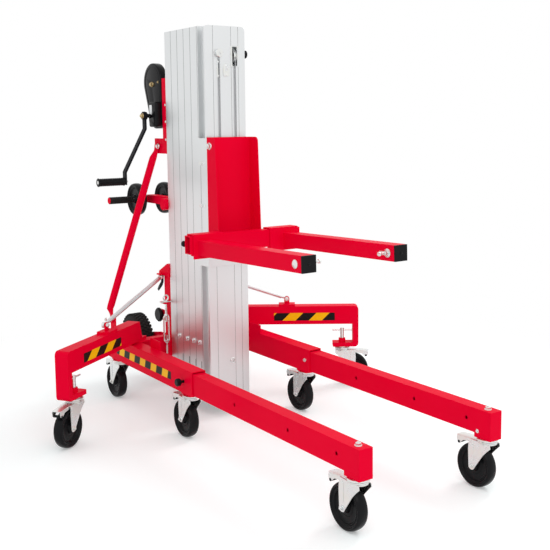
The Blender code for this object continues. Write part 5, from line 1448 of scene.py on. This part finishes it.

# %% [markdown]
# ## Lines, slots and plates on the mast
#
# The front section carries a small bracket for the pulley, a strap, a clip and the cable's eye, all cut
# from plate and lying flat on its front. Each is an outline in (x, z) that is turned to face forwards. Thin
# dark strips on the front paint the shade in the grooves of its spine. The other sections have a short slot
# low down on both sides, whose dark inside is painted shade: a black plate on the side face.

# %% Lines, slots and plates on the mast
SLOTS_BEHIND = ((2, 0.2540), (3, 0.1935), (4, 0.1340), (5, 0.0800))
SLOT_HALF = 0.0022
SLOT_HEIGHTS = (0.2130, 0.2450)
BRACKET_HEIGHTS = (1.5480, 1.6290)
PLATE_HEADS = ((-0.032, 1.5630), (-0.032, 1.5030), (0.005, 1.5480), (0.005, 1.5100))
PULL_RING_RADIUS = 0.010
PULL_RING_BAR = 0.0022


def front_plate(outline, holes, thickness, standing=0.0, edge=0.0006):
    """A plate on the mast's front, drawn in (x, z)."""
    return turned_to(plate(outline, holes, thickness, edge, 1), at(0, -standing, 0), FRONT, (1, 0, 0))


def make_mast_lines():
    # Painted shade: dark strips where the front face's grooves lie in shade.
    lines = [
        block(at(x - 0.0006, -0.0003, MAST_BOTTOM), at(x + 0.0006, 0.0005, MAST_TOP), 0.0001, 1)
        for x in SPINE_LINES]
    add_piece("spine_lines", together(*lines), GAP_SHADE, "mast_section_6")
    # Each slot's dark inside is painted shade: a black plate on the side face, not a hole.
    for section, behind in SLOTS_BEHIND:
        slots = [
            side_block(
                sign, (0.0990, 0.1003), (behind - SLOT_HALF, behind + SLOT_HALF), SLOT_HEIGHTS, 0.0003, 1)
            for sign, _ in LEFT_RIGHT]
        add_piece(f"mast_slot_{section}", together(*slots), BLACK, f"mast_section_{section}")


def make_pulley_bracket():
    low, high = BRACKET_HEIGHTS
    bracket = front_plate(
        rectangle((0.0275, 1.5440), (0.0685, 1.6330), 0.004),
        [rectangle((0.0335, low), (0.0625, high), 0.003)], 0.0018)
    cheeks = [block(at(x, -0.001, low), at(x + 0.003, 0.020, high), 0.0005, 1) for x in (0.0335, 0.0595)]
    strap = front_plate(rectangle((-0.0420, 1.4950), (-0.0220, 1.5700), 0.004), [], 0.0022)
    clip = front_plate(
        rectangle((-0.0110, 1.5020), (0.0210, 1.5560), 0.008), [circle((0.005, 1.529), 0.006, 16)], 0.0024)
    eye = front_plate(
        circle((-0.032, 1.600), 0.0175, 32), [circle((-0.032, 1.595), 0.0055, 16)], 0.0030, 0.0088, 0.0008)
    add_piece("pulley_bracket", together(bracket, *cheeks, strap, clip, eye), ZINC, "mast_section_6")
    for x, height in PLATE_HEADS:
        ROUND_ZINC.append(("mast_section_6", at(x, -0.0023, height), FRONT, 0.0045))


def make_pull_ring():
    """A round bar bent into a ring: a small circle that is spun about Z."""
    shape = bmesh.new()
    upright = Matrix.Translation((PULL_RING_RADIUS, 0, 0)) @ Matrix.Rotation(math.pi / 2, 4, "X")
    bmesh.ops.create_circle(shape, segments=12, radius=PULL_RING_BAR, matrix=upright)
    bmesh.ops.spin(
        shape, geom=list(shape.verts) + list(shape.edges), axis=(0, 0, 1), cent=(0, 0, 0), steps=28,
        angle=math.tau)
    bmesh.ops.remove_doubles(shape, verts=shape.verts, dist=0.00001)
    bmesh.ops.recalc_face_normals(shape, faces=shape.faces)
    ring = bpy.data.meshes.new("ring")
    shape.to_mesh(ring)
    shape.free()
    shade(ring)
    tilt = Matrix.Rotation(math.radians(72.0), 4, "X")
    ring.transform(Matrix.Translation(at(0.0146, -0.0030, 0.250)) @ tilt)
    add_piece("mast_pull_ring", ring, ZINC, "mast_section_6")


make_mast_lines()
make_pulley_bracket()
make_pull_ring()
print(len(SLOTS_BEHIND), "pairs of slots, the pulley's bracket and a pull ring on the mast")

# %% [markdown]
# ## The diagonal struts
#
# A diagonal strut is a tube whose ends are pressed flat and bolted. Rings of
# points at chosen heights, round in the middle and long and thin at the ends,
# joined one to the next, give exactly that change of section.

# %% Struts
STRUT_RINGS = (
    (0.3605, 0.3045, 0.5800, 0.0020, 0.0080), (0.3650, 0.3045, 0.5800, 0.0041, 0.0145),
    (0.3950, 0.3046, 0.5800, 0.0043, 0.0170), (0.4120, 0.3080, 0.5800, 0.0080, 0.0185),
    (0.4300, 0.3125, 0.5784, 0.0150, 0.0180), (0.4450, 0.3082, 0.5760, 0.0175, 0.0175),
    (1.1300, 0.1261, 0.4652, 0.0175, 0.0175), (1.1480, 0.1213, 0.4623, 0.0172, 0.0178),
    (1.1640, 0.1140, 0.4610, 0.0115, 0.0190), (1.1780, 0.1068, 0.4600, 0.0062, 0.0200),
    (1.1930, 0.1048, 0.4590, 0.0044, 0.0205), (1.2060, 0.1047, 0.4590, 0.0043, 0.0180),
    (1.2140, 0.1046, 0.4590, 0.0030, 0.0090))


def lofted(rings, sign, steps=28):
    """A closed skin over oval rings of (height, x, behind, half in x, half in y)."""
    shape = bmesh.new()
    rows = []
    for height, x, behind, half_x, half_y in rings:
        rows.append([
            shape.verts.new(at(sign * (x + half_x * across), behind + half_y * deep, height))
            for across, deep in circle((0, 0), 1.0, steps)])
    for low, high in zip(rows, rows[1:]):
        for n in range(steps):
            shape.faces.new((low[n - 1], low[n], high[n], high[n - 1]))
    shape.faces.new(rows[0])
    shape.faces.new(rows[-1])
    bmesh.ops.recalc_face_normals(shape, faces=shape.faces)
    mesh = bpy.data.meshes.new("lofted")
    shape.to_mesh(mesh)
    shape.free()
    shade(mesh, 40.0)
    return mesh


def make_struts():
    for sign, side in LEFT_RIGHT:
        node = f"diagonal_strut_{side}"
        add_piece(f"{node}_pressed", lofted(STRUT_RINGS, sign), RED, "base", [node])


make_struts()
print("two struts with pressed ends")

# %% [markdown]
# ## The winch's gear cover
#
# The gears run under a black pear-shaped cover with rounded edges. The box
# over the crank's shaft holds the load brake, and a small bare metal plate is
# set into it. Both are plates whose rim is bevelled in several steps.

# %% Gear cover
COVER_INNER = -0.0653
COVER_OUTER = -0.1033
BRAKE_OUTER = -0.1313
SHAFTS = ((0.490, 1.486, 0.0085), (0.465, 1.340, 0.0095))
PEAR_TOP = (0.492, 1.496)
BRAKE_LOW, BRAKE_HIGH = (0.4050, 1.2880), (0.4770, 1.4040)
INSET_LOW, INSET_HIGH = (0.4440, 1.3440), (0.4690, 1.3900)


def pear(high_radius, low_radius, steps=20):
    """Round the drum's axle above and round the crank's shaft below."""
    high, low = PEAR_TOP, SHAFTS[1][:2]
    span = math.dist(high, low)
    lean = math.degrees(math.atan2(high[1] - low[1], high[0] - low[0]))
    spread = math.degrees(math.acos((high_radius - low_radius) / span))
    return (arc(high, high_radius, lean - (180 - spread), lean + (180 - spread), steps)
            + arc(low, low_radius, lean + (180 - spread), lean + 180 + spread, steps // 2))


def side_plate(outline, holes, inner, outer, edge, segments=3):
    """A plate drawn in (behind, z), from one x to another further left."""
    mesh = plate(outline, holes, inner - outer, edge, segments)
    mesh.transform(Matrix.Translation((outer, MAST_FRONT, 0.0)))
    return mesh


def make_gear_cover():
    holes = [circle(shaft[:2], shaft[2], 20) for shaft in SHAFTS]
    cover = side_plate(pear(0.0880, 0.0598), holes, COVER_INNER, COVER_OUTER, 0.0055)
    inner_rim = pear(0.0690, 0.0420)[::-1]
    rib = side_plate(
        pear(0.0720, 0.0450), [inner_rim], COVER_OUTER + 0.001, COVER_OUTER - 0.0012, 0.0004, 1)
    box = rectangle(BRAKE_LOW, BRAKE_HIGH, 0.012)
    brake = side_plate(box, [holes[1]], COVER_OUTER + 0.001, BRAKE_OUTER, 0.0050)
    cover = together(cover, rib, brake)
    shade(cover)
    add_piece("winch_gear_cover_rounded", cover, NYLON, "base", ["winch_gear_cover"])
    inset = side_plate(
        rectangle(INSET_LOW, INSET_HIGH, 0.004), [], BRAKE_OUTER + 0.001, BRAKE_OUTER - 0.0006, 0.0003, 1)
    add_piece("brake_plate", inset, ALUMINIUM, "base")
    return len(cover.polygons)


print(make_gear_cover(), "faces on the gear cover")

# %% [markdown]
# ## The turnbuckle and its eye
#
# The turnbuckle holds the column upright. Its body is a bar bent into a long
# ring, with a nut welded into each end, and threaded rods run into both. Bent
# bar is a path with a round section, so the ring is a closed curve.

# %% Turnbuckle
BUCKLE_X = -0.132
BUCKLE_BEHIND = 0.352
RODS = ((0.2293, 0.3180), (0.3820, 0.4677))
NUT_STARTS = (0.2815, 0.4055)
THREAD_STARTS = (0.2440, 0.4240)
THREAD_PITCH = 0.0022
THREAD_COUNT = 12


def pipe(points, radius, closed=False, resolution=3):
    """A round bar along a line of points."""
    curve = bpy.data.curves.new("pipe", "CURVE")
    curve.dimensions = "3D"
    curve.bevel_depth = radius
    curve.bevel_resolution = resolution
    curve.use_fill_caps = True
    spline = curve.splines.new("POLY")
    spline.points.add(len(points) - 1)
    for point, place in zip(spline.points, points):
        point.co = (*place, 1.0)
    spline.use_cyclic_u = closed
    item = bpy.data.objects.new("pipe", curve)
    bpy.context.scene.collection.objects.link(item)
    bpy.context.view_layer.update()
    mesh = evaluated_mesh(item)
    shade(mesh)
    return mesh


def ring_path(low, high, half_width):
    """A long ring in the XZ plane: two straight sides and two half circles."""
    upper = arc((0.0, high - half_width), half_width, 0.0, 180.0, 10)
    lower = arc((0.0, low + half_width), half_width, 180.0, 360.0, 10)
    return [at(BUCKLE_X + x, BUCKLE_BEHIND, z) for x, z in upper + lower]


def collar(low, high, radius, bore=0.004, steps=24):
    mesh = spun(rounded([(low, bore), (low, radius), (high, radius), (high, bore)], 0.001, 2)
                + [(low, bore)], steps)
    return laid(mesh, at(BUCKLE_X, BUCKLE_BEHIND, 0.0), UP)


def make_turnbuckle():
    body = pipe(ring_path(0.2880, 0.4120, 0.0125), 0.0042, True)
    rods = [
        pipe([at(BUCKLE_X, BUCKLE_BEHIND, low), at(BUCKLE_X, BUCKLE_BEHIND, high)], 0.0046)
        for low, high in RODS]
    nuts = [collar(low, low + 0.013, 0.0090, steps=6) for low in NUT_STARTS]
    threads = [
        collar(low + THREAD_PITCH * n, low + THREAD_PITCH * n + 0.0014, 0.0053, steps=20)
        for low in THREAD_STARTS for n in range(THREAD_COUNT)]
    whole = together(body, *rods, *nuts, *threads)
    shade(whole)
    add_piece("turnbuckle_bent", whole, ZINC, "turnbuckle", ["turnbuckle"])
    return len(whole.polygons)


print(make_turnbuckle(), "faces on the turnbuckle")

# %% [markdown]
# ## Eye, catch and knobs
#
# The last small pieces are the ones that a hand sets: the turnbuckle's eye
# with its wing, a catch below the hood, a knob on the crossbar and a lock pin
# on each fork. The beams' plugs and the carriage's side bars come with them.
# All are turned shapes, plates and blocks, as the larger pieces are.

# %% Eye, catch and knobs
EYE_RADIUS = 0.0125
EYE_HEIGHT = 0.4955
EYE_HEAD = [(0.4760, 0.0), (0.4760, 0.0140), (0.4810, 0.0140), (0.4810, 0.0)]
CATCH = [
    (0.424, 0.588), (0.438, 0.590), (0.448, 0.556), (0.470, 0.536), (0.486, 0.516),
    (0.478, 0.508), (0.462, 0.520), (0.440, 0.538), (0.428, 0.556)]
CATCH_X = -0.1065
KNOB = [
    (0.0, 0.0), (0.0, 0.0045), (0.010, 0.0045), (0.012, 0.0120), (0.026, 0.0130),
    (0.030, 0.0085), (0.030, 0.0)]
FORK_PIN = [
    (0.0, 0.0), (0.0, 0.0170), (0.003, 0.0170), (0.0032, 0.0075), (0.016, 0.0075),
    (0.017, 0.0050), (0.038, 0.0050), (0.0385, 0.0080), (0.046, 0.0080), (0.046, 0.0)]
FORK_PIN_BEHIND = -0.845
FORK_PIN_HEIGHT = 0.8145
BEAM_PLUG = [
    (-0.001, 0.0), (-0.001, 0.0125), (0.0008, 0.0125), (0.0014, 0.0100), (0.0014, 0.0)]


def make_turnbuckle_eye():
    ring = circle((BUCKLE_X, EYE_HEIGHT), EYE_RADIUS, 20)
    eye = pipe([at(x, BUCKLE_BEHIND, z) for x, z in ring], 0.0036, True)
    head = laid(spun(rounded(EYE_HEAD, 0.001, 2), 6), at(BUCKLE_X, BUCKLE_BEHIND, 0.0), UP)
    wing = block(
        at(BUCKLE_X - 0.030, BUCKLE_BEHIND - 0.008, 0.4750),
        at(BUCKLE_X + 0.030, BUCKLE_BEHIND + 0.008, 0.4790), 0.001)
    add_piece("turnbuckle_eye", together(eye, head, wing), ZINC, "base")


def make_catch_and_knob():
    catch = plate(CATCH, [], 0.005, 0.001)
    catch.transform(Matrix.Translation((CATCH_X, MAST_FRONT, 0.0)))
    add_piece("column_catch", catch, BLACK, "base")
    knob = spun(rounded(KNOB, 0.002, 3), 32)
    add_piece("crossbar_knob", laid(knob, at(-0.2660, -0.1095, 0.8075), BACK), NYLON, "carriage")


def make_fork_pin(sign, side):
    body = f"fork_{side}"
    pin = spun(rounded(FORK_PIN, 0.0008, 2), 28)
    laid(pin, at(sign * 0.1818, FORK_PIN_BEHIND, FORK_PIN_HEIGHT), (-sign, 0, 0))
    tail = side_block(sign, (0.1785, 0.1815), (FORK_PIN_BEHIND, -0.800), (0.8100, 0.8190), 0.0008)
    add_piece(f"fork_pin_{side}", together(pin, tail), ZINC, body)
    head = at(sign * 0.2440, FORK_PIN_BEHIND, FORK_PIN_HEIGHT)
    ROUND_ZINC.append((body, head, outward(sign), 0.0165))
    ROUND_BLACK.append((body, at(sign * 0.213, -0.8855, 0.8155), FRONT, 0.0060))


def make_beam_and_arm_trim(sign, side):
    plug = spun(rounded(BEAM_PLUG, 0.0004, 2), 32)
    add_piece(f"beam_plug_{side}", laid(plug, at(sign * 0.290, 0.368, 0.304), UP), BLACK, "base")
    origin, along, front = arm_axes(sign)
    spot = origin + along * 0.2735 + front * 0.0003 + Vector((0, 0, 0.4345))
    HEX_ZINC.append((f"outrigger_arm_{side}", spot, front, 0.0085))


def make_carriage_trim(sign, side):
    for height in CARRIAGE_BAR_HEIGHTS:
        bar = side_block(
            sign, (0.1073, 0.1090), (0.004, 0.056), (height - 0.006, height + 0.006), 0.0006)
        add_piece(f"carriage_bar_{side}_{int(height * 1000)}", bar, ZINC, "carriage")
    # Painted shade: a thin dark strip for the shaded seam along the carriage's side.
    line = side_block(sign, (0.1070, 0.1079), (0.0390, 0.0410), (0.8300, 1.1260), 0.0002, 1)
    add_piece(f"carriage_line_{side}", line, GAP_SHADE, "carriage")


make_turnbuckle_eye()
make_catch_and_knob()
for sign, side in LEFT_RIGHT:
    make_fork_pin(sign, side)
    make_beam_and_arm_trim(sign, side)
    make_carriage_trim(sign, side)
print("eye, catch, knob, and on each side a pin, a plug, bars and a line")

# %% [markdown]
# ## Setting the fasteners
#
# Some pieces above have put their own heads on the lists. The rest are listed
# here, and then each kind is grown at once, one mesh for each body.

# %% Setting the fasteners
for listed in (list_mast_bolts, list_base_bolts, list_load_bolts, list_crank_bolts, list_caster_bolts):
    listed()
print(make_fasteners(), "bolts and rivets")
